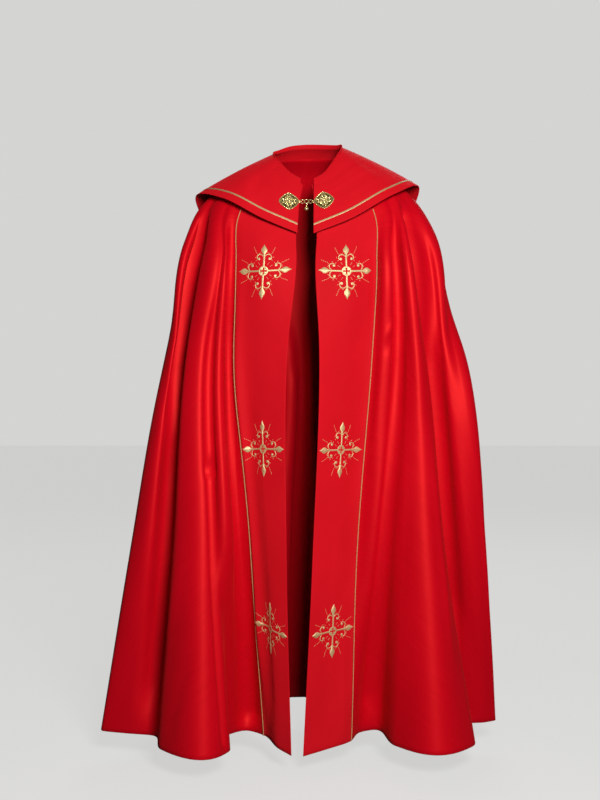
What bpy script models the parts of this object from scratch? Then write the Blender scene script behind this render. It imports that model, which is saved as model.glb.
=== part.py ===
"""Cope: an open, semicircular vestment worn over the shoulders, clasped at the neck.

Frame: metres, +Z up, the open front faces -Y. The origin lies between the shoulders at the
base of the neck, where a wearer carries it. Every cloth piece is a wall worked out from the
ring sections of SHOULDERS and from the rows of the fold tables.
"""
import math
import bpy
import bmesh
import numpy as np
from mathutils import Matrix, Vector

for _ob in list(bpy.data.objects):
    bpy.data.objects.remove(_ob, do_unlink=True)

# ------------------------------------------------------------------ driving sizes
MANTLE_WALL = 0.0020      # heavy lined satin
BAND_WALL = 0.0020        # orphrey cloth and its backing
HOOD_WALL = 0.0020
SEAM_GAP = 0.0003         # between two pieces that are sewn together
SEAM_TRIM = 0.0002        # each side of a seam, so that the gap holds where the cloth turns
ELBOW_Z = -0.430
HEM_Z = -1.385
PIPING_RADIUS = 0.0013
BRAID_WIDTH = 0.0044
BRAID_WALL = 0.0009
BRAID_INSET = 0.0185      # from the hood's edge to the braid's outer edge

# The form over the shoulders, a row for each ring: heights at front, left, right and back,
# half widths to the left and right, reach to the front and back, and how square it is.
SHOULDERS = (
    # name        z_front  z_left   z_right  z_back   half_l  half_r  front   back    square
    ("neck",      -0.056,   0.002,   0.014,   0.016,  0.077,  0.079,  0.084,  0.066,  2.0),
    ("yoke",      -0.100,  -0.031,  -0.014,  -0.026,  0.160,  0.163,  0.116,  0.110,  2.1),
    ("shoulder",  -0.168,  -0.094,  -0.077,  -0.110,  0.243,  0.246,  0.146,  0.146,  2.3),
    ("arm",       -0.245,  -0.190,  -0.175,  -0.225,  0.291,  0.303,  0.182,  0.168,  2.4),
)
SINK_SHARE = (0.0, 0.05, 0.35, 1.0)   # how much of a row's sink each shoulder ring takes

# The front of the cloth, a row for each edge, seam, crest or valley. az: degrees from the front
# (-Y), right (+X) positive, at the neck and the arm ring; sink: metres it lies back (+Y) of the
# arm ring; x, y: where it runs at elbow height, half way down and at the hem; drop: metres that
# it hangs under the hem's height; full: how broad it is.
LEFT_FOLDS = (
    # name             az_neck  az_arm   sink    x_elbow y_elbow x_half  y_half  x_hem   y_hem   drop  full
    ("edge_left",         -8.0,    -3.2,  0.000,  -0.046, -0.205, -0.049, -0.216, -0.038, -0.160, 0.020, 1.00),
    ("bend_left",        -36.0,   -17.0,  0.000,  -0.105, -0.173, -0.092, -0.182, -0.070, -0.122, 0.012, 0.80),
    ("seam_left",        -62.0,   -30.2,  0.014,  -0.170, -0.134, -0.133, -0.132, -0.104, -0.035, 0.004, 0.80),
    ("valley_left",      -66.0,   -32.6,  0.010,  -0.179, -0.130, -0.152, -0.137, -0.147, -0.003, 0.000, 0.80),
    ("pleat_left",       -75.0,   -36.6, -0.002,  -0.206, -0.166, -0.196, -0.206, -0.190, -0.040, 0.000, 1.00),
    ("corner_left",      -82.0,   -39.2,  0.004,  -0.221, -0.157, -0.213, -0.203, -0.185, -0.200, 0.000, 0.80),
    ("crest_left_1",     -88.0,   -42.5, -0.004,  -0.236, -0.166, -0.232, -0.226, -0.229, -0.267, 0.000, 1.00),
    ("flank_left_out",   -93.0,   -53.0,  0.004,  -0.276, -0.148, -0.304, -0.194, -0.345, -0.178, 0.000, 0.80),
    ("tuck_left",        -96.0,   -58.5,  0.030,  -0.292, -0.094, -0.332, -0.098, -0.375, -0.050, 0.000, 0.70),
    ("panel_left",       -99.0,   -71.0, -0.012,  -0.320, -0.103, -0.376, -0.112, -0.438, -0.030, 0.000, 1.00),
    ("crest_left_2",    -104.0,   -90.0,  0.000,  -0.331, -0.070, -0.416, -0.080, -0.504, -0.004, 0.000, 0.60),
)
RIGHT_FOLDS = (
    # name             az_neck  az_arm   sink    x_elbow y_elbow x_half  y_half  x_hem   y_hem   drop  full
    ("crest_right_2",    106.0,    94.0,  0.000,   0.351, -0.092,  0.425, -0.075,  0.474,  0.098, 0.000, 0.45),
    ("panel_right",      102.0,    74.0, -0.014,   0.321, -0.108,  0.388, -0.086,  0.445,  0.078, 0.000, 0.80),
    ("tuck_right",        97.0,    58.0,  0.018,   0.295, -0.096,  0.340, -0.068,  0.402,  0.070, 0.000, 0.60),
    ("flank_right_out",   94.0,    51.0,  0.004,   0.276, -0.142,  0.320, -0.150,  0.393, -0.150, 0.000, 0.80),
    ("crest_right_1",     91.0,    45.5, -0.008,   0.251, -0.168,  0.286, -0.201,  0.304, -0.230, 0.000, 1.00),
    ("flank_right_in",    88.0,    42.5,  0.000,   0.231, -0.158,  0.224, -0.181,  0.211, -0.148, 0.000, 0.90),
    ("valley_right",      84.0,    40.0,  0.006,   0.217, -0.150,  0.186, -0.148,  0.160,  0.003, 0.000, 0.80),
    ("crest_right_0",     76.0,    36.2, -0.008,   0.198, -0.160,  0.162, -0.150,  0.130, -0.020, 0.000, 1.00),
    ("seam_right",        62.0,    28.4,  0.012,   0.154, -0.142,  0.119, -0.126,  0.105, -0.080, 0.006, 0.80),
    ("bend_right",        34.0,    15.0,  0.002,   0.090, -0.180,  0.063, -0.172,  0.047, -0.128, 0.013, 1.00),
    ("edge_right",         8.0,     2.1,  0.000,   0.028, -0.212,  0.013, -0.215, -0.009, -0.165, 0.020, 1.00),
)

# The back, a row for each crest or valley round from left to right. reach: metres out from the
# origin's axis; full: how broad it is; turn: degrees that it leans over at the hem; bow: metres
# it strays to +X half way down.
BACK_FOLDS = (
    # name             az_neck  az_arm  az_elbow reach_e az_hem  reach_h full  turn   bow
    ("valley_back_1",  -112.0,  -116.0,  -113.0,  0.282, -112.0,  0.390, 1.40,   0,   0.000),
    ("crest_back_1",   -124.0,  -128.0,  -129.0,  0.262, -123.0,  0.466, 2.00,  -8,   0.010),
    ("valley_back_2",  -135.0,  -138.0,  -139.0,  0.222, -137.0,  0.300, 1.40,   0,   0.000),
    ("crest_back_2",   -146.0,  -149.0,  -152.0,  0.212, -149.0,  0.402, 2.00,  10,  -0.006),
    ("valley_back_3",  -158.0,  -161.0,  -163.0,  0.183, -163.0,  0.212, 1.40,   0,   0.000),
    ("crest_back_3",   -172.0,  -174.0,  -175.0,  0.190, -174.0,  0.350, 2.00,  -6,   0.008),
    ("valley_back_4",   176.0,   173.0,   172.0,  0.174,  169.0,  0.200, 1.40,   0,   0.000),
    ("crest_back_4",    162.0,   159.0,   157.0,  0.200,  153.0,  0.372, 2.00,   8,   0.006),
    ("valley_back_5",   149.0,   146.0,   144.0,  0.212,  140.0,  0.262, 1.40,   0,   0.000),
    ("crest_back_5",    136.0,   132.0,   130.0,  0.262,  128.0,  0.430, 2.00, -10,  -0.008),
    ("valley_back_6",   122.0,   117.0,   114.0,  0.304,  118.0,  0.352, 1.40,   0,   0.000),
)

# The hood, a row for each station round the neck: az at the neck, the point of its lower
# edge, and where its surface bends: parts of the way out and of
# the way down; rise: its neck edge over the mantle's; stand: the turned-up collar there.
HOOD = (
    # name               az_neck   edge_x   edge_y   edge_z   out    down   rise   stand
    ("front_left",        -11.0,  -0.024,  -0.163,  -0.171,  0.50,  0.44,  0.013,  0.000),
    ("breast_left",       -30.0,  -0.108,  -0.150,  -0.135,  0.52,  0.43,  0.014,  0.001),
    ("collar_left",       -62.0,  -0.197,  -0.108,  -0.088,  0.54,  0.42,  0.017,  0.003),
    ("tip_left",          -92.0,  -0.269,   0.006,  -0.078,  0.52,  0.40,  0.020,  0.005),
    ("shoulder_left",    -124.0,  -0.236,   0.128,  -0.162,  0.66,  0.30,  0.023,  0.006),
    ("blade_left",       -152.0,  -0.132,   0.193,  -0.300,  0.76,  0.16,  0.026,  0.008),
    ("point",             180.0,   0.000,   0.216,  -0.425,  0.80,  0.11,  0.027,  0.009),
    ("blade_right",       152.0,   0.132,   0.193,  -0.295,  0.76,  0.16,  0.027,  0.009),
    ("shoulder_right",    124.0,   0.238,   0.128,  -0.148,  0.66,  0.30,  0.026,  0.008),
    ("tip_right",          92.0,   0.271,   0.006,  -0.056,  0.52,  0.40,  0.025,  0.006),
    ("collar_right",       62.0,   0.203,  -0.108,  -0.079,  0.54,  0.40,  0.020,  0.004),
    ("breast_right",       30.0,   0.106,  -0.150,  -0.135,  0.52,  0.43,  0.014,  0.001),
    ("front_right",        11.0,   0.015,  -0.163,  -0.172,  0.50,  0.44,  0.013,  0.000),
)
HOOD_OUT = 0.0050         # the hood's neck edge outside the mantle's

# The clasp: two cushion-shaped plates, each with an eye, and three linked rings.
PLATE = {"half_w": 0.0242, "half_h": 0.0232, "bow": 1.32, "rim": 0.0027, "field": 0.0016,
         "boss": 0.0046}
EYE = {"ring": 0.0025, "wire": 0.0008, "out": 0.0013}
RING_WIRE = 0.0007
RING_TILT = (48, -34, 48)  # degrees, each ring about the chain's own line
LINK_PLAY = 0.00035       # room between one link's wire and the next
PENDANT = {"ring": 0.0024, "wire": 0.0006, "drop": 0.0142}

COLOURS = {
    # name       red    green  blue   rough  metallic
    "satin":    (0.60, 0.005, 0.012, 0.38, 0.0),
    "orphrey":  (0.62, 0.016, 0.022, 0.62, 0.0),
    "gold":     (0.80, 0.56, 0.26, 0.45, 0.3),
    "gilt":     (0.78, 0.62, 0.24, 0.28, 1.0),
}


# ------------------------------------------------------------------ surface functions
def ring_point(row, az, half_l, half_r):
    """A point of a shoulder ring at an azimuth in degrees."""
    _, zf, zl, zr, zb, hl, hr, front, back, square = row
    a = math.radians(az)
    power = 2.0 / square
    s, c = math.sin(a), math.cos(a)
    side = half_r if s > 0 else half_l
    x = side * math.copysign(abs(s) ** power, s)
    y = -(front if c > 0 else back) * math.copysign(abs(c) ** power, c)
    z_mid = zl + (zr - zl) * (0.5 + 0.5 * s)
    z_end = zf if c > 0 else zb
    z = z_mid + (z_end - z_mid) * abs(c) ** 2
    return (x, y, z)


def polar(az, reach, z):
    a = math.radians(az)
    return (reach * math.sin(a), -reach * math.cos(a), z)


def ring_line(az_neck, az_arm, sink):
    """A row's points at the shoulder rings."""
    points = []
    count = len(SHOULDERS)
    for k, ring in enumerate(SHOULDERS):
        share = (k / (count - 1)) ** 0.8
        x, y, z = ring_point(ring, az_neck + (az_arm - az_neck) * share, ring[5], ring[6])
        points.append((x, y + sink * SINK_SHARE[k], z))
    return points


def fold_lines():
    """Each row as its points at the rings, the elbow, half way and the hem."""
    lines, full, turn, names = [], [], [], []

    def front(rows):
        for name, az_neck, az_arm, sink, xe, ye, xm, ym, xh, yh, drop, broad in rows:
            lines.append(ring_line(az_neck, az_arm, sink)
                         + [(xe, ye, ELBOW_Z - 0.3 * drop),
                            (xm, ym, 0.5 * (ELBOW_Z + HEM_Z) - 0.7 * drop),
                            (xh, yh, HEM_Z - drop)])
            full.append(broad)
            turn.append(0.0)
            names.append(name)

    front(LEFT_FOLDS)
    for name, az_neck, az_arm, az_e, reach_e, az_h, reach_h, broad, lean, bow in BACK_FOLDS:
        elbow, hem = polar(az_e, reach_e, ELBOW_Z), polar(az_h, reach_h, HEM_Z)
        half = [0.5 * (p + q) for p, q in zip(elbow, hem)]
        half[0] += bow
        lines.append(ring_line(az_neck, az_arm, 0.0) + [elbow, tuple(half), hem])
        full.append(broad)
        turn.append(lean)
        names.append(name)
    front(RIGHT_FOLDS)
    return np.array(lines), np.array(full), np.radians(turn), names


def knots(points):
    """Mean distances between the levels, the running parameter down the cloth."""
    step = np.linalg.norm(np.diff(points, axis=1), axis=2).mean(axis=0)
    return np.concatenate([[0.0], np.cumsum(step)])


def slopes(values, at):
    """Hermite slopes down the levels for unequal steps."""
    out = np.zeros_like(values)
    step = np.diff(at)
    rate = np.diff(values, axis=1) / step[None, :, None]
    out[:, 0], out[:, -1] = rate[:, 0], rate[:, -1]
    for k in range(1, len(at) - 1):
        a, b = step[k - 1], step[k]
        out[:, k] = (rate[:, k - 1] * b + rate[:, k] * a) / (a + b)
    return out


LINES, FULL, TURN, NAMES = fold_lines()
LEVELS = knots(LINES)
LINE_SLOPES = slopes(LINES, LEVELS)


def hermite(p, q, mp, mq, h, w):
    w2, w3 = w * w, w * w * w
    return (p * (2 * w3 - 3 * w2 + 1) + mp * h * (w3 - 2 * w2 + w)
            + q * (3 * w2 - 2 * w3) + mq * h * (w3 - w2))


def level_points(t):
    """All the fold lines' points at depth t, 0 at the neck and 1 at the hem."""
    at = t * LEVELS[-1]
    k = min(max(int(np.searchsorted(LEVELS, at, side="right")) - 1, 0), len(LEVELS) - 2)
    h = LEVELS[k + 1] - LEVELS[k]
    w = (at - LEVELS[k]) / h
    return hermite(LINES[:, k], LINES[:, k + 1], LINE_SLOPES[:, k], LINE_SLOPES[:, k + 1], h, w)


def level_ways(points, t):
    """Directions round the cloth at each row, as full and as turned as the row says, and the
    chords between the rows."""
    at = t * LEVELS[-1]
    grown = min(max((at - LEVELS[3]) / (LEVELS[-1] - LEVELS[3]), 0.0), 1.0)
    step = np.diff(points, axis=0)
    chord = np.linalg.norm(step, axis=1, keepdims=True)
    unit = step / chord
    way = np.zeros_like(points)
    way[1:-1] = unit[:-1] * chord[1:] + unit[1:] * chord[:-1]
    way[0], way[-1] = unit[0], unit[-1]
    way /= np.linalg.norm(way, axis=1, keepdims=True)
    full = 1.0 + (FULL - 1.0) * min(1.0, 1.6 * grown)
    turn = TURN * grown
    c, s = np.cos(turn), np.sin(turn)
    x, y = way[:, 0] * full, way[:, 1] * full
    way[:, 0], way[:, 1] = c * x - s * y, s * x + c * y
    return way, chord


def mantle(u, t):
    """A point of the cloth: u counts the fold rows, t goes from neck to hem."""
    points = level_points(t)
    way, chord = level_ways(points, t)
    k = min(max(int(math.floor(u)), 0), len(points) - 2)
    return hermite(points[k], points[k + 1], way[k] * chord[k], way[k + 1] * chord[k], 1.0, u - k)


def hood_rows():
    rows = []
    neck_ring = SHOULDERS[0]
    for _, az, ex, ey, ez, out, down, rise, stand in HOOD:
        x, y, z = ring_point(neck_ring, az, neck_ring[5], neck_ring[6])
        away = math.hypot(x, y)
        root = (x + HOOD_OUT * x / away, y + HOOD_OUT * y / away, z + rise)
        top = (root[0], root[1], root[2] + stand)
        bend = (root[0] + out * (ex - root[0]), root[1] + out * (ey - root[1]),
                root[2] + down * (ez - root[2]))
        rows.append((top, root, bend, (ex, ey, ez)))
    return np.array(rows)


HOOD_POINTS = hood_rows()
HOOD_TANGENTS = np.zeros_like(HOOD_POINTS)
HOOD_TANGENTS[1:-1] = 0.5 * (HOOD_POINTS[2:] - HOOD_POINTS[:-2])
HOOD_TANGENTS[0] = HOOD_POINTS[1] - HOOD_POINTS[0]
HOOD_TANGENTS[-1] = HOOD_POINTS[-1] - HOOD_POINTS[-2]
STAND_PART = 0.12


def hood_frame(a):
    k = min(max(int(math.floor(a)), 0), len(HOOD_POINTS) - 2)
    return hermite(HOOD_POINTS[k], HOOD_POINTS[k + 1], HOOD_TANGENTS[k], HOOD_TANGENTS[k + 1],
                   1.0, a - k)


def hood(a, t):
    """A point of the hood: a counts the rows of HOOD, t goes from the neck to the edge."""
    top, root, bend, edge = hood_frame(a)
    if t < STAND_PART:
        w = t / STAND_PART
        return top + (root - top) * (w - 0.18 * w * (1 - w))
    w = (t - STAND_PART) / (1 - STAND_PART)
    return root * (1 - w) ** 2 + bend * 2 * w * (1 - w) + edge * w * w


def hood_length(a):
    points = [hood(a, STAND_PART + (1 - STAND_PART) * k / 12) for k in range(13)]
    return sum(np.linalg.norm(q - p) for p, q in zip(points, points[1:]))


def normal_of(surface, p, q):
    """Unit normal of a surface function, pointing out of the garment."""
    e = 1e-3
    dp = surface(p + e, q) - surface(p - e, q)
    dq = surface(p, min(q + e, 1.0)) - surface(p, max(q - e, 0.0))
    n = np.cross(dp, dq)
    return n / np.linalg.norm(n)


# ------------------------------------------------------------------ mesh building
def material(name, kind):
    r, g, b, rough, metal = COLOURS[kind]
    mat = bpy.data.materials.get(name) or bpy.data.materials.new(name)
    mat.use_nodes = True
    shader = mat.node_tree.nodes["Principled BSDF"]
    shader.inputs["Base Color"].default_value = (r, g, b, 1.0)
    shader.inputs["Roughness"].default_value = rough
    shader.inputs["Metallic"].default_value = metal
    return mat


def add_object(name, bm, kind, smooth=40):
    mesh = bpy.data.meshes.new(name)
    bmesh.ops.recalc_face_normals(bm, faces=bm.faces)
    bm.to_mesh(mesh)
    bm.free()
    ob = bpy.data.objects.new(name, mesh)
    bpy.context.scene.collection.objects.link(ob)
    mesh.materials.append(material("mat_" + kind, kind))
    mesh.shade_smooth()
    mesh.set_sharp_from_angle(angle=math.radians(smooth))
    return ob


def wall(name, points, normals, thick, kind):
    """A closed wall around a grid of points, thick, split the same way on both faces."""
    bm = bmesh.new()
    outer = [[bm.verts.new(p + n * thick / 2) for p, n in zip(pr, nr)]
             for pr, nr in zip(points, normals)]
    inner = [[bm.verts.new(p - n * thick / 2) for p, n in zip(pr, nr)]
             for pr, nr in zip(points, normals)]
    rows, cols = len(points), len(points[0])
    for i in range(rows - 1):
        for j in range(cols - 1):
            for grid in (outer, inner):
                a, b = grid[i][j], grid[i + 1][j]
                c, d = grid[i + 1][j + 1], grid[i][j + 1]
                bm.faces.new((a, b, c))
                bm.faces.new((a, c, d))
    rim = ([(i, 0, i + 1, 0) for i in range(rows - 1)]
           + [(i, cols - 1, i + 1, cols - 1) for i in range(rows - 1)]
           + [(0, j, 0, j + 1) for j in range(cols - 1)]
           + [(rows - 1, j, rows - 1, j + 1) for j in range(cols - 1)])
    for i, j, k, m in rim:
        bm.faces.new((outer[i][j], outer[k][m], inner[k][m], inner[i][j]))
    return add_object(name, bm, kind)


def grid_of(surface, across, down, trim_start=0.0, trim_end=0.0):
    """Points and normals of a surface on a grid, its first and last columns drawn in."""
    points, normals = [], []
    for p in across:
        points.append([surface(p, q) for q in down])
        normals.append([normal_of(surface, p, q) for q in down])
    for index, inward, trim in ((0, 1, trim_start), (-1, -1, trim_end)):
        if trim:
            for j, q in enumerate(down):
                p = across[index]
                d = surface(p + 1e-3, q) - surface(p - 1e-3, q)
                points[index][j] = points[index][j] + inward * trim * d / np.linalg.norm(d)
    return points, normals


def spread(start, end, steps):
    return [start + (end - start) * k / steps for k in range(steps + 1)]


def level_share(k):
    return LEVELS[k] / LEVELS[-1]


# depths of the mesh rows: one step to each shoulder ring, two to the elbow, six to the hem
DOWN = ([level_share(0), level_share(1), level_share(2), level_share(3)]
        + spread(level_share(3), level_share(4), 2)[1:]
        + spread(level_share(4), 1.0, 6)[1:])
SEAM_L, SEAM_R = float(NAMES.index("seam_left")), float(NAMES.index("seam_right"))
LAST = float(len(NAMES) - 1)

# mantle: one semicircle of satin from seam to seam round the back
across = spread(SEAM_L, SEAM_R, int(SEAM_R - SEAM_L) * 3)
P, N = grid_of(mantle, across, DOWN, SEAM_TRIM, SEAM_TRIM)
wall("mantle", P, N, MANTLE_WALL, "satin")

# orphreys: the two front bands
for name, start, end, trims in (("orphrey_left", 0.0, SEAM_L, (0.0, SEAM_TRIM)),
                                ("orphrey_right", SEAM_R, LAST, (SEAM_TRIM, 0.0))):
    P, N = grid_of(mantle, spread(start, end, 6), DOWN, *trims)
    wall(name, P, N, BAND_WALL, "orphrey")


def tube(name, path, radius, sides, kind):
    """A round cord along a path of points, capped at both ends."""
    bm = bmesh.new()
    loops = []
    for i, p in enumerate(path):
        ahead = path[min(i + 1, len(path) - 1)] - path[max(i - 1, 0)]
        ahead = Vector(ahead).normalized()
        side = ahead.cross(Vector((0, 1, 0))).normalized()
        up = side.cross(ahead).normalized()
        loops.append([bm.verts.new(Vector(p) + radius * (math.cos(2 * math.pi * k / sides) * side
                                                         + math.sin(2 * math.pi * k / sides) * up))
                      for k in range(sides)])
    for one, two in zip(loops, loops[1:]):
        for k in range(sides):
            m = (k + 1) % sides
            bm.faces.new((one[k], one[m], two[m], two[k]))
    bm.faces.new(loops[0])
    bm.faces.new(loops[-1])
    return add_object(name, bm, kind, 60)


# piping: a gold cord along each orphrey's outer seam, from under the hood to the hem
for name, u in (("piping_left", SEAM_L), ("piping_right", SEAM_R)):
    lift = MANTLE_WALL / 2 + PIPING_RADIUS + 0.0006
    path = [mantle(u, q) + lift * normal_of(mantle, u, q) for q in DOWN[2:]]
    tube(name, path, PIPING_RADIUS, 6, "gold")

# hood: a shaped cape round the shoulders, down to a point at the back
HOOD_ACROSS = spread(0.0, float(len(HOOD) - 1), (len(HOOD) - 1) * 3)


def hood_down(a):
    """Depths of the hood's mesh rows; two of them carry the braid's edges."""
    length = hood_length(a)
    braid_out = 1.0 - BRAID_INSET / length * (1 - STAND_PART)
    braid_in = 1.0 - (BRAID_INSET + BRAID_WIDTH) / length * (1 - STAND_PART)
    return [0.0, STAND_PART] + spread(STAND_PART, braid_in, 4)[1:] + [braid_out, 1.0]


P = [[hood(a, q) for q in hood_down(a)] for a in HOOD_ACROSS]
N = [[normal_of(hood, min(max(a, 2e-3), len(HOOD) - 1.002), q) for q in hood_down(a)]
     for a in HOOD_ACROSS]
wall("hood", P, N, HOOD_WALL, "orphrey")

# braid: a flat gold ribbon on the hood, along its lower edge, made from the hood's points
lift = HOOD_WALL / 2 + BRAID_WALL / 2 + SEAM_GAP
BP = [[row[k] + lift * nrow[k] for k in (5, 6)] for row, nrow in zip(P, N)]
BN = [[nrow[k] for k in (5, 6)] for nrow in N]
wall("hood_braid", BP, BN, BRAID_WALL, "gold")


# ------------------------------------------------------------------ clasp
def ring_mesh(bm, ring, wire, frame, around=16, sides=6):
    grid = []
    for i in range(around):
        a = 2 * math.pi * i / around
        grid.append([])
        for j in range(sides):
            b = 2 * math.pi * j / sides
            r = ring + wire * math.cos(b)
            grid[-1].append(bm.verts.new(frame @ Vector((r * math.cos(a), wire * math.sin(b),
                                                          r * math.sin(a)))))
    for i in range(around):
        for j in range(sides):
            k, m = (i + 1) % around, (j + 1) % sides
            bm.faces.new((grid[i][j], grid[k][j], grid[k][m], grid[i][m]))


def cushion(half_w, half_h, bow, share, count=20):
    """A cushion-shaped outline standing on its corner, share 0 at the centre."""
    out = []
    for k in range(count):
        a = 2 * math.pi * k / count
        c, s = math.cos(a), math.sin(a)
        out.append((half_w * share * math.copysign(abs(c) ** bow, c),
                    half_h * share * math.copysign(abs(s) ** bow, s)))
    return out


def plate(name, centre, frame_rot, eye_side):
    """A clasp plate: rim, sunk field and a boss, with an eye on its inner corner."""
    bm = bmesh.new()
    frame = Matrix.Translation(centre) @ frame_rot
    profile = ((1.00, 0.0), (1.00, PLATE["rim"]), (0.86, PLATE["rim"]), (0.80, PLATE["field"]),
               (0.42, PLATE["field"]), (0.32, PLATE["boss"] * 0.75), (0.14, PLATE["boss"]))
    loops = []
    for share, height in profile:
        loops.append([bm.verts.new(frame @ Vector((x, -height, z)))
                      for x, z in cushion(PLATE["half_w"], PLATE["half_h"], PLATE["bow"], share)])
    for one, two in zip(loops, loops[1:]):
        for k in range(len(one)):
            m = (k + 1) % len(one)
            bm.faces.new((one[k], one[m], two[m], two[k]))
    bm.faces.new(loops[0])
    bm.faces.new(loops[-1])
    ob = add_object(name, bm, "gilt", 35)
    eye = bmesh.new()
    where = Matrix.Translation((eye_side * (PLATE["half_w"] + EYE["out"]), -EYE["wire"] - 0.0004,
                                0.0))
    ring_mesh(eye, EYE["ring"], EYE["wire"], frame @ where, 14)
    cutter = add_object(name + "_eye", eye, "gilt", 60)
    cutter.hide_render = True
    cutter.display_type = 'WIRE'
    join = ob.modifiers.new("eye", 'BOOLEAN')
    join.operation = 'UNION'
    join.solver = 'EXACT'
    join.object = cutter
    return ob


def hood_at(x, z, side):
    """The hood's point and normal on its left or right front, nearest to a given x and z."""
    best = None
    span = range(0, 25) if side < 0 else range(0, 25)
    for i in span:
        a = i * 0.08 if side < 0 else (len(HOOD) - 1) - i * 0.08
        for j in range(10, 96, 2):
            p = hood(a, j / 100)
            miss = (p[0] - x) ** 2 + (p[2] - z) ** 2
            if best is None or miss < best[0]:
                best = (miss, a, j / 100)
    _, a, q = best
    a = min(max(a, 0.01), len(HOOD) - 1.01)
    return hood(a, q), normal_of(hood, a, q)


PLATES = (
    # name           x        z        roll  side
    ("clasp_left",  -0.0432, -0.0995,    1,   1),
    ("clasp_right",  0.0374, -0.0960,   -8,  -1),
)
EYES = []
for name, x, z, roll, side in PLATES:
    p, n = hood_at(x, z, x)
    y_axis = -Vector(n)
    x_axis = y_axis.cross(Vector((0, 0, 1))).normalized()
    z_axis = x_axis.cross(y_axis).normalized()
    turn = Matrix((x_axis, y_axis, z_axis)).transposed().to_4x4() @ Matrix.Rotation(
        math.radians(roll), 4, 'Y')
    centre = Vector(p) + Vector(n) * (HOOD_WALL / 2 + 0.0012)
    plate(name, centre, turn, side)
    EYES.append((Matrix.Translation(centre) @ turn) @ Vector(
        (side * (PLATE["half_w"] + EYE["out"]), -EYE["wire"] - 0.0004, 0.0)))

# chain: three rings that hang link in link between the two eyes
span = (EYES[1] - EYES[0]).length
along = (EYES[1] - EYES[0]).normalized()
wires = EYE["wire"] + RING_WIRE
ring_size = (span - 2 * EYE["ring"] + 2 * wires + 4 * RING_WIRE + 4 * LINK_PLAY) / 6
first = EYE["ring"] + ring_size - wires - LINK_PLAY
pitch = 2 * ring_size - 2 * RING_WIRE - LINK_PLAY
level = Matrix((along, along.cross(Vector((0, 0, 1))) * -1,
                Vector((0, 0, 1)))).transposed().to_4x4()
for k, (name, tilt) in enumerate(zip(("chain_ring_left", "chain_ring_centre",
                                      "chain_ring_right"), RING_TILT)):
    centre = EYES[0] + along * (first + k * pitch)
    bm = bmesh.new()
    frame = Matrix.Translation(centre) @ level @ Matrix.Rotation(math.radians(tilt), 4, 'X')
    ring_mesh(bm, ring_size, RING_WIRE, frame, 18)
    add_object(name, bm, "gilt", 60)
    if k == 1:
        hinge = frame @ Vector((0, 0, -ring_size))

# pendant: a small drop that swings on the middle ring; its origin is the swing's axis
bm = bmesh.new()
hang = PENDANT["ring"] - PENDANT["wire"] - RING_WIRE - LINK_PLAY
ring_mesh(bm, PENDANT["ring"], PENDANT["wire"],
          Matrix.Translation((0, 0, -hang)) @ Matrix.Rotation(math.pi / 2, 4, 'Z'), 14)
pendant = add_object("pendant", bm, "gilt", 60)
pendant.location = hinge
bm = bmesh.new()
top = -hang - PENDANT["ring"] + 0.0002
drop = PENDANT["drop"]
profile = ((0.0009, 0.0), (0.0011, 0.16), (0.0021, 0.27), (0.0019, 0.33), (0.0041, 0.52),
           (0.0048, 0.68), (0.0039, 0.86), (0.0013, 0.98))
loops = []
for radius, share in profile:
    loops.append([bm.verts.new((radius * math.cos(2 * math.pi * k / 12),
                                radius * math.sin(2 * math.pi * k / 12), top - drop * share))
                  for k in range(12)])
for one, two in zip(loops, loops[1:]):
    for k in range(12):
        m = (k + 1) % 12
        bm.faces.new((one[k], two[k], two[m], one[m]))
bm.faces.new(loops[0])
bm.faces.new(loops[-1])
body = add_object("pendant_drop", bm, "gilt", 60)
body.location = hinge
body.hide_render = True
body.display_type = 'WIRE'
join = pendant.modifiers.new("drop", 'BOOLEAN')
join.operation = 'UNION'
join.solver = 'EXACT'
join.object = body
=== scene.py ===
"""Looks of the cope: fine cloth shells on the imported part's own form, with their creases, weave,
embroidery, braid, piping and clasp. Metres, +Z up, the open front faces -Y."""
import math

import bpy
import numpy as np
from mathutils import Matrix, Vector


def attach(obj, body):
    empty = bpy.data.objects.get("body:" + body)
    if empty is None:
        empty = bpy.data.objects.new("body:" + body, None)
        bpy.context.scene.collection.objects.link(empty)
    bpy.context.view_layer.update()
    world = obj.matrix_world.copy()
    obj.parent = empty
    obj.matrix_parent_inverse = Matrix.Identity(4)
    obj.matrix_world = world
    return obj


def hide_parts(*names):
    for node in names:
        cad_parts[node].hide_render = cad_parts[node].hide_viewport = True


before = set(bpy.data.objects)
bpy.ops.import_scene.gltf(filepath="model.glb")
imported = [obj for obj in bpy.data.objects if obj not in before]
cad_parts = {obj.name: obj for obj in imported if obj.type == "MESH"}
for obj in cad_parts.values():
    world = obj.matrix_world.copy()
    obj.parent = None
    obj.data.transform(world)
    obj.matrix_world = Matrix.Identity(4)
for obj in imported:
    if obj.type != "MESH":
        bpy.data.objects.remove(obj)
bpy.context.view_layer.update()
RNG = np.random.default_rng(7)

# ------------------------------------------------------------------ the part's own sizes
MANTLE_WALL = 0.0020
BAND_WALL = 0.0020
HOOD_WALL = 0.0020
SEAM_GAP = 0.0003
ELBOW_Z = -0.430
HEM_Z = -1.385
PIPING_RADIUS = 0.0013
BRAID_WIDTH = 0.0044
BRAID_WALL = 0.0009
BRAID_INSET = 0.0185
HOOD_OUT = 0.0050
STAND_PART = 0.12
SINK_SHARE = (0.0, 0.05, 0.35, 1.0)   # how much of a row's sink each shoulder ring takes

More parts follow.
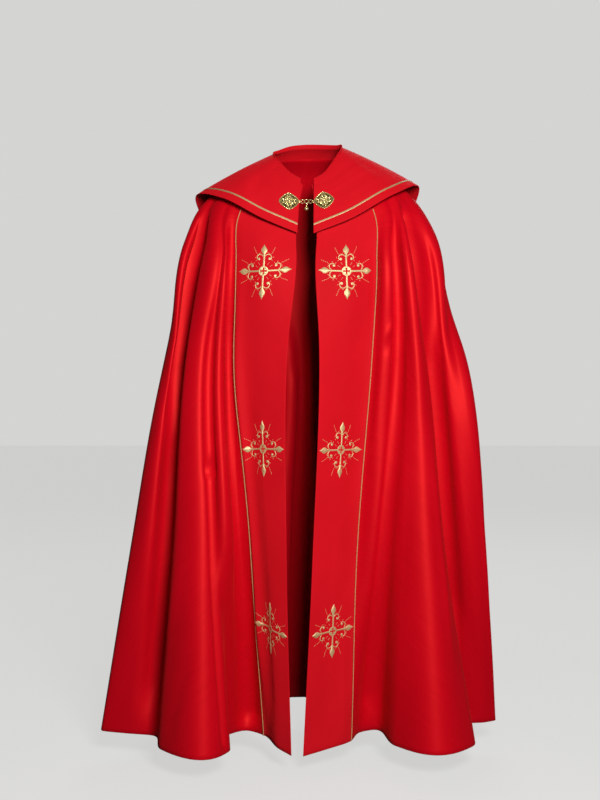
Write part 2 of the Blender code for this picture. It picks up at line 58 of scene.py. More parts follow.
SHOULDERS = (
    # name        z_front  z_left   z_right  z_back   half_l  half_r  front   back    square
    ("neck",      -0.056,   0.002,   0.014,   0.016,  0.077,  0.079,  0.084,  0.066,  2.0),
    ("yoke",      -0.100,  -0.031,  -0.014,  -0.026,  0.160,  0.163,  0.116,  0.110,  2.1),
    ("shoulder",  -0.168,  -0.094,  -0.077,  -0.110,  0.243,  0.246,  0.146,  0.146,  2.3),
    ("arm",       -0.245,  -0.190,  -0.175,  -0.225,  0.291,  0.303,  0.182,  0.168,  2.4),
)
# The front of the cloth, a row for each edge, seam, crest or valley from the front round to the
# side. az: degrees from the front (-Y), right (+X) positive, at the neck and the arm ring;
# sink: metres it lies back (+Y) of the arm ring; x, y: where it runs at elbow height, half way
# down and at the hem; drop: metres that it hangs under the hem's height.
LEFT_FOLDS = (
    # name             az_neck  az_arm   sink    x_elbow y_elbow x_half  y_half  x_hem   y_hem   drop  full
    ("edge_left",         -8.0,    -3.2,  0.000,  -0.046, -0.205, -0.049, -0.216, -0.038, -0.160, 0.020, 1.00),
    ("bend_left",        -36.0,   -17.0,  0.000,  -0.105, -0.173, -0.092, -0.182, -0.070, -0.122, 0.012, 0.80),
    ("seam_left",        -62.0,   -30.2,  0.014,  -0.170, -0.134, -0.133, -0.132, -0.104, -0.035, 0.004, 0.80),
    ("valley_left",      -66.0,   -32.6,  0.010,  -0.179, -0.130, -0.152, -0.137, -0.147, -0.003, 0.000, 0.80),
    ("pleat_left",       -75.0,   -36.6, -0.002,  -0.206, -0.166, -0.196, -0.206, -0.190, -0.040, 0.000, 1.00),
    ("corner_left",      -82.0,   -39.2,  0.004,  -0.221, -0.157, -0.213, -0.203, -0.185, -0.200, 0.000, 0.80),
    ("crest_left_1",     -88.0,   -42.5, -0.004,  -0.236, -0.166, -0.232, -0.226, -0.229, -0.267, 0.000, 1.00),
    ("flank_left_out",   -93.0,   -53.0,  0.004,  -0.276, -0.148, -0.304, -0.194, -0.345, -0.178, 0.000, 0.80),
    ("tuck_left",        -96.0,   -58.5,  0.030,  -0.292, -0.094, -0.332, -0.098, -0.375, -0.050, 0.000, 0.70),
    ("panel_left",       -99.0,   -71.0, -0.012,  -0.320, -0.103, -0.376, -0.112, -0.438, -0.030, 0.000, 1.00),
    ("crest_left_2",    -104.0,   -90.0,  0.000,  -0.331, -0.070, -0.416, -0.080, -0.504, -0.004, 0.000, 0.60),
)
RIGHT_FOLDS = (
    # name             az_neck  az_arm   sink    x_elbow y_elbow x_half  y_half  x_hem   y_hem   drop  full
    ("crest_right_2",    106.0,    94.0,  0.000,   0.351, -0.092,  0.425, -0.075,  0.474,  0.098, 0.000, 0.45),
    ("panel_right",      102.0,    74.0, -0.014,   0.321, -0.108,  0.388, -0.086,  0.445,  0.078, 0.000, 0.80),
    ("tuck_right",        97.0,    58.0,  0.018,   0.295, -0.096,  0.340, -0.068,  0.402,  0.070, 0.000, 0.60),
    ("flank_right_out",   94.0,    51.0,  0.004,   0.276, -0.142,  0.320, -0.150,  0.393, -0.150, 0.000, 0.80),
    ("crest_right_1",     91.0,    45.5, -0.008,   0.251, -0.168,  0.286, -0.201,  0.304, -0.230, 0.000, 1.00),
    ("flank_right_in",    88.0,    42.5,  0.000,   0.231, -0.158,  0.224, -0.181,  0.211, -0.148, 0.000, 0.90),
    ("valley_right",      84.0,    40.0,  0.006,   0.217, -0.150,  0.186, -0.148,  0.160,  0.003, 0.000, 0.80),
    ("crest_right_0",     76.0,    36.2, -0.008,   0.198, -0.160,  0.162, -0.150,  0.130, -0.020, 0.000, 1.00),
    ("seam_right",        62.0,    28.4,  0.012,   0.154, -0.142,  0.119, -0.126,  0.105, -0.080, 0.006, 0.80),
    ("bend_right",        34.0,    15.0,  0.002,   0.090, -0.180,  0.063, -0.172,  0.047, -0.128, 0.013, 1.00),
    ("edge_right",         8.0,     2.1,  0.000,   0.028, -0.212,  0.013, -0.215, -0.009, -0.165, 0.020, 1.00),
)

# The back, a row for each crest or valley round from left to right. reach: metres out from the
# origin's axis; full: how broad it is; turn: degrees that it leans over at the hem; bow: metres
# it strays to +X half way down.
BACK_FOLDS = (
    # name             az_neck  az_arm  az_elbow reach_e az_hem  reach_h full  turn   bow
    ("valley_back_1",  -112.0,  -116.0,  -113.0,  0.282, -112.0,  0.390, 1.40,   0,   0.000),
    ("crest_back_1",   -124.0,  -128.0,  -129.0,  0.262, -123.0,  0.466, 2.00,  -8,   0.010),
    ("valley_back_2",  -135.0,  -138.0,  -139.0,  0.222, -137.0,  0.300, 1.40,   0,   0.000),
    ("crest_back_2",   -146.0,  -149.0,  -152.0,  0.212, -149.0,  0.402, 2.00,  10,  -0.006),
    ("valley_back_3",  -158.0,  -161.0,  -163.0,  0.183, -163.0,  0.212, 1.40,   0,   0.000),
    ("crest_back_3",   -172.0,  -174.0,  -175.0,  0.190, -174.0,  0.350, 2.00,  -6,   0.008),
    ("valley_back_4",   176.0,   173.0,   172.0,  0.174,  169.0,  0.200, 1.40,   0,   0.000),
    ("crest_back_4",    162.0,   159.0,   157.0,  0.200,  153.0,  0.372, 2.00,   8,   0.006),
    ("valley_back_5",   149.0,   146.0,   144.0,  0.212,  140.0,  0.262, 1.40,   0,   0.000),
    ("crest_back_5",    136.0,   132.0,   130.0,  0.262,  128.0,  0.430, 2.00, -10,  -0.008),
    ("valley_back_6",   122.0,   117.0,   114.0,  0.304,  118.0,  0.352, 1.40,   0,   0.000),
)
HOOD = (
    # name               az_neck   edge_x   edge_y   edge_z   out    down   rise   stand
    ("front_left",        -11.0,  -0.024,  -0.163,  -0.171,  0.50,  0.44,  0.013,  0.000),
    ("breast_left",       -30.0,  -0.108,  -0.150,  -0.135,  0.52,  0.43,  0.014,  0.001),
    ("collar_left",       -62.0,  -0.197,  -0.108,  -0.088,  0.54,  0.42,  0.017,  0.003),
    ("tip_left",          -92.0,  -0.269,   0.006,  -0.078,  0.52,  0.40,  0.020,  0.005),
    ("shoulder_left",    -124.0,  -0.236,   0.128,  -0.162,  0.66,  0.30,  0.023,  0.006),
    ("blade_left",       -152.0,  -0.132,   0.193,  -0.300,  0.76,  0.16,  0.026,  0.008),
    ("point",             180.0,   0.000,   0.216,  -0.425,  0.80,  0.11,  0.027,  0.009),
    ("blade_right",       152.0,   0.132,   0.193,  -0.295,  0.76,  0.16,  0.027,  0.009),
    ("shoulder_right",    124.0,   0.238,   0.128,  -0.148,  0.66,  0.30,  0.026,  0.008),
    ("tip_right",          92.0,   0.271,   0.006,  -0.056,  0.52,  0.40,  0.025,  0.006),
    ("collar_right",       62.0,   0.203,  -0.108,  -0.079,  0.54,  0.40,  0.020,  0.004),
    ("breast_right",       30.0,   0.106,  -0.150,  -0.135,  0.52,  0.43,  0.014,  0.001),
    ("front_right",        11.0,   0.015,  -0.163,  -0.172,  0.50,  0.44,  0.013,  0.000),
)


# ------------------------------------------------------------------ the part's surfaces
def ring_point(row, az, half_l, half_r):
    _, zf, zl, zr, zb, hl, hr, front, back, square = row
    a = math.radians(az)
    power = 2.0 / square
    s, c = math.sin(a), math.cos(a)
    side = half_r if s > 0 else half_l
    x = side * math.copysign(abs(s) ** power, s)
    y = -(front if c > 0 else back) * math.copysign(abs(c) ** power, c)
    z_mid = zl + (zr - zl) * (0.5 + 0.5 * s)
    z_end = zf if c > 0 else zb
    return (x, y, z_mid + (z_end - z_mid) * abs(c) ** 2)


def polar(az, reach, z):
    a = math.radians(az)
    return (reach * math.sin(a), -reach * math.cos(a), z)


def ring_line(az_neck, az_arm, sink):
    """A row's points at the shoulder rings."""
    points = []
    count = len(SHOULDERS)
    for k, ring in enumerate(SHOULDERS):
        share = (k / (count - 1)) ** 0.8
        x, y, z = ring_point(ring, az_neck + (az_arm - az_neck) * share, ring[5], ring[6])
        points.append((x, y + sink * SINK_SHARE[k], z))
    return points


def fold_lines():
    """Each row as its points at the rings, the elbow, half way and the hem."""
    lines, full, turn, names = [], [], [], []

    def front(rows):
        for name, az_neck, az_arm, sink, xe, ye, xm, ym, xh, yh, drop, broad in rows:
            lines.append(ring_line(az_neck, az_arm, sink)
                         + [(xe, ye, ELBOW_Z - 0.3 * drop),
                            (xm, ym, 0.5 * (ELBOW_Z + HEM_Z) - 0.7 * drop),
                            (xh, yh, HEM_Z - drop)])
            full.append(broad)
            turn.append(0.0)
            names.append(name)

    front(LEFT_FOLDS)
    for name, az_neck, az_arm, az_e, reach_e, az_h, reach_h, broad, lean, bow in BACK_FOLDS:
        elbow, hem = polar(az_e, reach_e, ELBOW_Z), polar(az_h, reach_h, HEM_Z)
        half = [0.5 * (p + q) for p, q in zip(elbow, hem)]
        half[0] += bow
        lines.append(ring_line(az_neck, az_arm, 0.0) + [elbow, tuple(half), hem])
        full.append(broad)
        turn.append(lean)
        names.append(name)
    front(RIGHT_FOLDS)
    return np.array(lines), np.array(full), np.radians(turn), names


def slopes(values, at):
    out = np.zeros_like(values)
    step = np.diff(at)
    rate = np.diff(values, axis=1) / step[None, :, None]
    out[:, 0], out[:, -1] = rate[:, 0], rate[:, -1]
    for k in range(1, len(at) - 1):
        a, b = step[k - 1], step[k]
        out[:, k] = (rate[:, k - 1] * b + rate[:, k] * a) / (a + b)
    return out


LINES, FULL, TURN, NAMES = fold_lines()
LEVELS = np.concatenate([[0.0], np.cumsum(
    np.linalg.norm(np.diff(LINES, axis=1), axis=2).mean(axis=0))])
LINE_SLOPES = slopes(LINES, LEVELS)
LENGTH = LEVELS[-1]
SEAM_L, SEAM_R = float(NAMES.index("seam_left")), float(NAMES.index("seam_right"))
LAST = float(len(NAMES) - 1)


def hermite(p, q, mp, mq, h, w):
    w2, w3 = w * w, w * w * w
    return (p * (2 * w3 - 3 * w2 + 1) + mp * h * (w3 - 2 * w2 + w)
            + q * (3 * w2 - 2 * w3) + mq * h * (w3 - w2))


def levels_at(t):
    """All the fold lines' points, round-the-cloth directions and the chords between them at
    many depths: [depth, row, xyz]."""
    at = np.asarray(t, float) * LENGTH
    k = np.clip(np.searchsorted(LEVELS, at, side="right") - 1, 0, len(LEVELS) - 2)
    h = (LEVELS[k + 1] - LEVELS[k])[:, None, None]
    w = (at - LEVELS[k])[:, None, None] / h
    lines, slope = LINES.transpose(1, 0, 2), LINE_SLOPES.transpose(1, 0, 2)
    points = hermite(lines[k], lines[k + 1], slope[k], slope[k + 1], h, w)
    grown = np.clip((at - LEVELS[3]) / (LENGTH - LEVELS[3]), 0.0, 1.0)[:, None]
    step = np.diff(points, axis=1)
    chord = np.linalg.norm(step, axis=2, keepdims=True)
    unit = step / chord
    way = np.zeros_like(points)
    way[:, 1:-1] = unit[:, :-1] * chord[:, 1:] + unit[:, 1:] * chord[:, :-1]
    way[:, 0], way[:, -1] = unit[:, 0], unit[:, -1]
    way /= np.linalg.norm(way, axis=2, keepdims=True)
    full = 1.0 + (FULL[None] - 1.0) * np.minimum(1.0, 1.6 * grown)
    turn = TURN[None] * grown
    c, s = np.cos(turn), np.sin(turn)
    x, y = way[..., 0] * full, way[..., 1] * full
    way[..., 0], way[..., 1] = c * x - s * y, s * x + c * y
    return points, way, chord


def mantle_grid(us, ts):
    """Points of the cloth for every pair of us and ts: [u, t, xyz]."""
    points, way, chord = levels_at(ts)
    us = np.asarray(us, float)
    k = np.clip(np.floor(us).astype(int), 0, len(NAMES) - 2)
    w = (us - k)[None, :, None]
    out = hermite(points[:, k], points[:, k + 1], way[:, k] * chord[:, k],
                  way[:, k + 1] * chord[:, k], 1.0, w)
    return out.transpose(1, 0, 2)


def mantle_pairs(us, ts):
    """Points of the cloth for us[i], ts[i]."""
    points, way, chord = levels_at(ts)
    us = np.asarray(us, float)
    k = np.clip(np.floor(us).astype(int), 0, len(NAMES) - 2)
    i = np.arange(len(us))
    w = (us - k)[:, None]
    return hermite(points[i, k], points[i, k + 1], way[i, k] * chord[i, k],
                   way[i, k + 1] * chord[i, k], 1.0, w)


def hood_rows():
    rows = []
    ring = SHOULDERS[0]
    for _, az, ex, ey, ez, out, down, rise, stand in HOOD:
        x, y, z = ring_point(ring, az, ring[5], ring[6])
        away = math.hypot(x, y)
        root = (x + HOOD_OUT * x / away, y + HOOD_OUT * y / away, z + rise)
        top = (root[0], root[1], root[2] + stand)
        bend = (root[0] + out * (ex - root[0]), root[1] + out * (ey - root[1]),
                root[2] + down * (ez - root[2]))
        rows.append((top, root, bend, (ex, ey, ez)))
    return np.array(rows)


HOOD_POINTS = hood_rows()
HOOD_TANGENTS = np.zeros_like(HOOD_POINTS)
HOOD_TANGENTS[1:-1] = 0.5 * (HOOD_POINTS[2:] - HOOD_POINTS[:-2])
HOOD_TANGENTS[0] = HOOD_POINTS[1] - HOOD_POINTS[0]
HOOD_TANGENTS[-1] = HOOD_POINTS[-1] - HOOD_POINTS[-2]


def hood_pairs(a, t):
    """Points of the hood for a[i], t[i]."""
    a, t = np.asarray(a, float), np.asarray(t, float)
    k = np.clip(np.floor(a).astype(int), 0, len(HOOD) - 2)
    w = (a - k)[:, None, None]
    f = hermite(HOOD_POINTS[k], HOOD_POINTS[k + 1], HOOD_TANGENTS[k], HOOD_TANGENTS[k + 1], 1.0, w)
    top, root, bend, edge = f[:, 0], f[:, 1], f[:, 2], f[:, 3]
    ws = (t / STAND_PART)[:, None]
    stand = top + (root - top) * (ws - 0.18 * ws * (1 - ws))
    wc = ((t - STAND_PART) / (1 - STAND_PART))[:, None]
    cape = root * (1 - wc) ** 2 + bend * 2 * wc * (1 - wc) + edge * wc * wc
    return np.where(t[:, None] < STAND_PART, stand, cape)


# ------------------------------------------------------------------ fine sheets
def normals_of(points):
    du = np.gradient(points, axis=0)
    dt = np.gradient(points, axis=1)
    n = np.cross(du, dt)
    return n / np.maximum(np.linalg.norm(n, axis=2, keepdims=True), 1e-12)


class Sheet:
    """A fine grid of a cloth surface, which can be read anywhere between its points."""

    def __init__(self, us, ts, points):
        self.us, self.ts = np.asarray(us, float), np.asarray(ts, float)
        self.points = points
        self.normals = normals_of(points)

    def _mix(self, values, u, t):
        i = np.clip(np.searchsorted(self.us, u, side="right") - 1, 0, len(self.us) - 2)
        j = np.clip(np.searchsorted(self.ts, t, side="right") - 1, 0, len(self.ts) - 2)
        a = ((u - self.us[i]) / (self.us[i + 1] - self.us[i]))[:, None]
        b = ((t - self.ts[j]) / (self.ts[j + 1] - self.ts[j]))[:, None]
        return ((values[i, j] * (1 - a) + values[i + 1, j] * a) * (1 - b)
                + (values[i, j + 1] * (1 - a) + values[i + 1, j + 1] * a) * b)

    def at(self, u, t):
        return self._mix(self.points, np.asarray(u, float), np.asarray(t, float))

    def normal(self, u, t):
        n = self._mix(self.normals, np.asarray(u, float), np.asarray(t, float))
        return n / np.linalg.norm(n, axis=1, keepdims=True)


def new_mesh(name, verts, quads, uv=None, tris=None):
    """An object from arrays: quads [n, 4], optional tris [m, 3], uv per vertex."""
    mesh = bpy.data.meshes.new(name)
    verts = np.asarray(verts, np.float32)
    quads = np.asarray(quads, np.int32).reshape(-1, 4)
    tris = np.zeros((0, 3), np.int32) if tris is None else np.asarray(tris, np.int32).reshape(-1, 3)
    loops = np.concatenate([quads.ravel(), tris.ravel()]).astype(np.int32)
    totals = np.concatenate([np.full(len(quads), 4), np.full(len(tris), 3)]).astype(np.int32)
    starts = np.concatenate([[0], np.cumsum(totals)[:-1]]).astype(np.int32)
    mesh.vertices.add(len(verts))
    mesh.vertices.foreach_set("co", verts.ravel())
    mesh.loops.add(len(loops))
    mesh.loops.foreach_set("vertex_index", loops)
    mesh.polygons.add(len(totals))
    mesh.polygons.foreach_set("loop_start", starts)
    mesh.polygons.foreach_set("loop_total", totals)
    if uv is not None:
        layer = mesh.uv_layers.new(name="UVMap")
        layer.data.foreach_set("uv", np.asarray(uv, np.float32)[loops].ravel())
    mesh.update(calc_edges=True)
    mesh.validate()
    mesh.shade_smooth()
    ob = bpy.data.objects.new(name, mesh)
    bpy.context.scene.collection.objects.link(ob)
    return ob


def grid_quads(rows, cols, base=0, flip=False):
    i, j = np.meshgrid(np.arange(rows - 1), np.arange(cols - 1), indexing="ij")
    a = base + i * cols + j
    b = base + (i + 1) * cols + j
    q = np.stack([a, b, b + 1, a + 1], axis=-1).reshape(-1, 4)
    return q[:, ::-1] if flip else q


def shell(name, points, normals, thick, uv, bulge=(0.6, 0.6, 0.6, 0.6)):
    """A closed cloth: outer and inner faces and rounded rims. bulge: how far each rim (first u,
    last u, first t, last t) rounds out, in parts of half the thickness."""
    nu, nt, _ = points.shape
    half = thick / 2
    outer = (points + normals * half).reshape(-1, 3)
    inner = (points - normals * half).reshape(-1, 3)
    size = nu * nt
    quads = [grid_quads(nu, nt), grid_quads(nu, nt, size, flip=True)]
    verts, uvs = [outer, inner], [uv.reshape(-1, 2), uv.reshape(-1, 2)]
    # the rim: one loop round the sheet, pushed out in the cloth's own plane
    ring = ([(i, 0) for i in range(nu)] + [(nu - 1, j) for j in range(1, nt)]
            + [(i, nt - 1) for i in range(nu - 2, -1, -1)] + [(0, j) for j in range(nt - 2, 0, -1)])
    ring = np.array(ring)
    i, j = ring[:, 0], ring[:, 1]
    du = np.gradient(points, axis=0)[i, j]
    dt = np.gradient(points, axis=1)[i, j]
    du /= np.maximum(np.linalg.norm(du, axis=1, keepdims=True), 1e-12)
    dt /= np.maximum(np.linalg.norm(dt, axis=1, keepdims=True), 1e-12)
    push = np.zeros_like(du)
    for where, direction, amount in ((i == 0, -du, bulge[0]), (i == nu - 1, du, bulge[1]),
                                     (j == 0, -dt, bulge[2]), (j == nt - 1, dt, bulge[3])):
        push += np.where(where[:, None], direction * amount * half, 0.0)
    rim = points[i, j] + push
    verts.append(rim)
    uvs.append(uv[i, j])
    count = len(ring)
    o = i * nt + j
    r = 2 * size + np.arange(count)
    nxt = np.roll(np.arange(count), -1)
    quads.append(np.stack([o, r, r[nxt], o[nxt]], axis=1)[:, ::1])
    quads.append(np.stack([r, o + size, (o + size)[nxt], r[nxt]], axis=1))
    quads = np.concatenate(quads)
    ob = new_mesh(name, np.concatenate(verts), quads, np.concatenate(uvs))
    fix_normals(ob)
    return ob


def fix_normals(ob):
    import bmesh
    bm = bmesh.new()
    bm.from_mesh(ob.data)
    bmesh.ops.recalc_face_normals(bm, faces=bm.faces)
    bm.to_mesh(ob.data)
    bm.free()
    ob.data.shade_smooth()


# ------------------------------------------------------------------ materials
class Nodes:
    """A small helper to build one Principled material."""

    def __init__(self, name, **plain):
        self.mat = bpy.data.materials.new(name)
        self.mat.use_nodes = True
        self.tree = self.mat.node_tree
        self.shader = self.tree.nodes["Principled BSDF"]
        for key, value in plain.items():
            self.shader.inputs[key.replace("_", " ")].default_value = value

    def add(self, kind, **values):
        node = self.tree.nodes.new("ShaderNode" + kind)
        for key, value in values.items():
            if key in node.inputs:
                node.inputs[key].default_value = value
            else:
                setattr(node, key, value)
        return node

    def link(self, a, b):
        self.tree.links.new(a, b)

    def math(self, operation, a, b=None):
        node = self.add("Math", operation=operation)
        for socket, value in zip(node.inputs, (a, b)):
            if value is None:
                continue
            if isinstance(value, (int, float)):
                socket.default_value = value
            else:
                self.link(value, socket)
        return node.outputs[0]

    def noise(self, vector, scale, detail=2.0, rough=0.5):
        node = self.add("TexNoise", Scale=scale, Detail=detail, Roughness=rough)
        self.link(vector, node.inputs["Vector"])
        return node.outputs["Fac"]

    def mapped(self, source, scale=(1, 1, 1), turn=0.0):
        node = self.add("Mapping")
        node.inputs["Scale"].default_value = scale
        node.inputs["Rotation"].default_value = (0, 0, turn)
        self.link(source, node.inputs["Vector"])
        return node.outputs["Vector"]

    def ramp(self, factor, stops):
        node = self.add("ValToRGB")
        elements = node.color_ramp.elements
        while len(elements) < len(stops):
            elements.new(0.5)
        for element, (place, colour) in zip(elements, stops):
            element.position = place
            element.color = (*colour, 1.0)
        self.link(factor, node.inputs["Fac"])
        return node.outputs["Color"]

    def bump(self, height, distance, strength=1.0, after=None):
        node = self.add("Bump", Strength=strength, Distance=distance)
        self.link(height, node.inputs["Height"])
        if after is not None:
            self.link(after, node.inputs["Normal"])
        return node.outputs["Normal"]

    def finish(self, colour=None, rough=None, normal=None):
        for socket, value in (("Base Color", colour), ("Roughness", rough), ("Normal", normal)):
            if value is not None:
                self.link(value, self.shader.inputs[socket])
        return self.mat


def satin_material():
    """Heavy duchess satin: a broad soft lustre, very fine warp floats, faint slubs."""
    m = Nodes("red_satin", Roughness=0.52, Metallic=0.13, Specular_IOR_Level=0.34,
              Specular_Tint=(1.0, 0.27, 0.15, 1.0), Sheen_Weight=0.10, Sheen_Roughness=0.45,
              Sheen_Tint=(1.0, 0.05, 0.03, 1.0), Diffuse_Roughness=0.2)
    uv = m.add("UVMap").outputs["UV"]
    slub = m.noise(m.mapped(uv, (420.0, 9.0, 1.0)), 1.0, 3.0)
    cloud = m.noise(m.mapped(uv, (5.0, 3.0, 1.0)), 1.0, 2.0)
    tone = m.math("ADD", m.math("MULTIPLY", slub, 0.55), m.math("MULTIPLY", cloud, 0.45))
    colour = m.ramp(tone, ((0.30, (0.520, 0.0008, 0.0076)), (0.70, (0.615, 0.0015, 0.0106))))
    warp = m.add("TexWave", wave_type="BANDS", bands_direction="X", Scale=1.0, Distortion=0.6,
                 Detail=1.0)
    m.link(m.mapped(uv, (230.0, 230.0, 1.0), math.radians(12)), warp.inputs["Vector"])
    height = m.math("ADD", m.math("MULTIPLY", warp.outputs["Fac"], 0.25),
                    m.math("MULTIPLY", slub, 0.75))
    fine = m.bump(height, 0.00022, 0.55)
    ripple = m.noise(m.mapped(uv, (26.0, 7.0, 1.0)), 1.0, 2.0)
    normal = m.bump(ripple, 0.0012, 0.5, fine)
    rough = m.math("ADD", m.math("MULTIPLY", slub, 0.08), 0.48)
    return m.finish(colour, rough, normal)


def band_material():
    """Matt ribbed cloth of the bands and the hood."""
    m = Nodes("red_band_cloth", Roughness=0.68, Specular_IOR_Level=0.22,
              Specular_Tint=(1.0, 0.30, 0.28, 1.0), Sheen_Weight=0.12, Sheen_Roughness=0.5,
              Sheen_Tint=(1.0, 0.06, 0.06, 1.0), Diffuse_Roughness=0.4)
    uv = m.add("UVMap").outputs["UV"]
    grain = m.noise(m.mapped(uv, (900.0, 620.0, 1.0)), 1.0, 3.0, 0.6)
    cloud = m.noise(m.mapped(uv, (9.0, 6.0, 1.0)), 1.0, 2.0)
    tone = m.math("ADD", m.math("MULTIPLY", grain, 0.6), m.math("MULTIPLY", cloud, 0.4))
    colour = m.ramp(tone, ((0.30, (0.50, 0.0035, 0.009)), (0.70, (0.62, 0.0060, 0.014))))
    ribs = m.add("TexWave", wave_type="BANDS", bands_direction="Y", Scale=1.0, Distortion=0.4,
                 Detail=1.0)
    m.link(m.mapped(uv, (190.0, 190.0, 1.0)), ribs.inputs["Vector"])
    height = m.math("ADD", m.math("MULTIPLY", ribs.outputs["Fac"], 0.4),
                    m.math("MULTIPLY", grain, 0.6))
    normal = m.bump(height, 0.00028, 0.6)
    return m.finish(colour, None, normal)


SATIN, BAND = satin_material(), band_material()


def wear(ob, material, body="root", replaces=()):
    ob.data.materials.clear()
    ob.data.materials.append(material)
    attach(ob, body)
    if replaces:
        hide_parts(*replaces)
    return ob


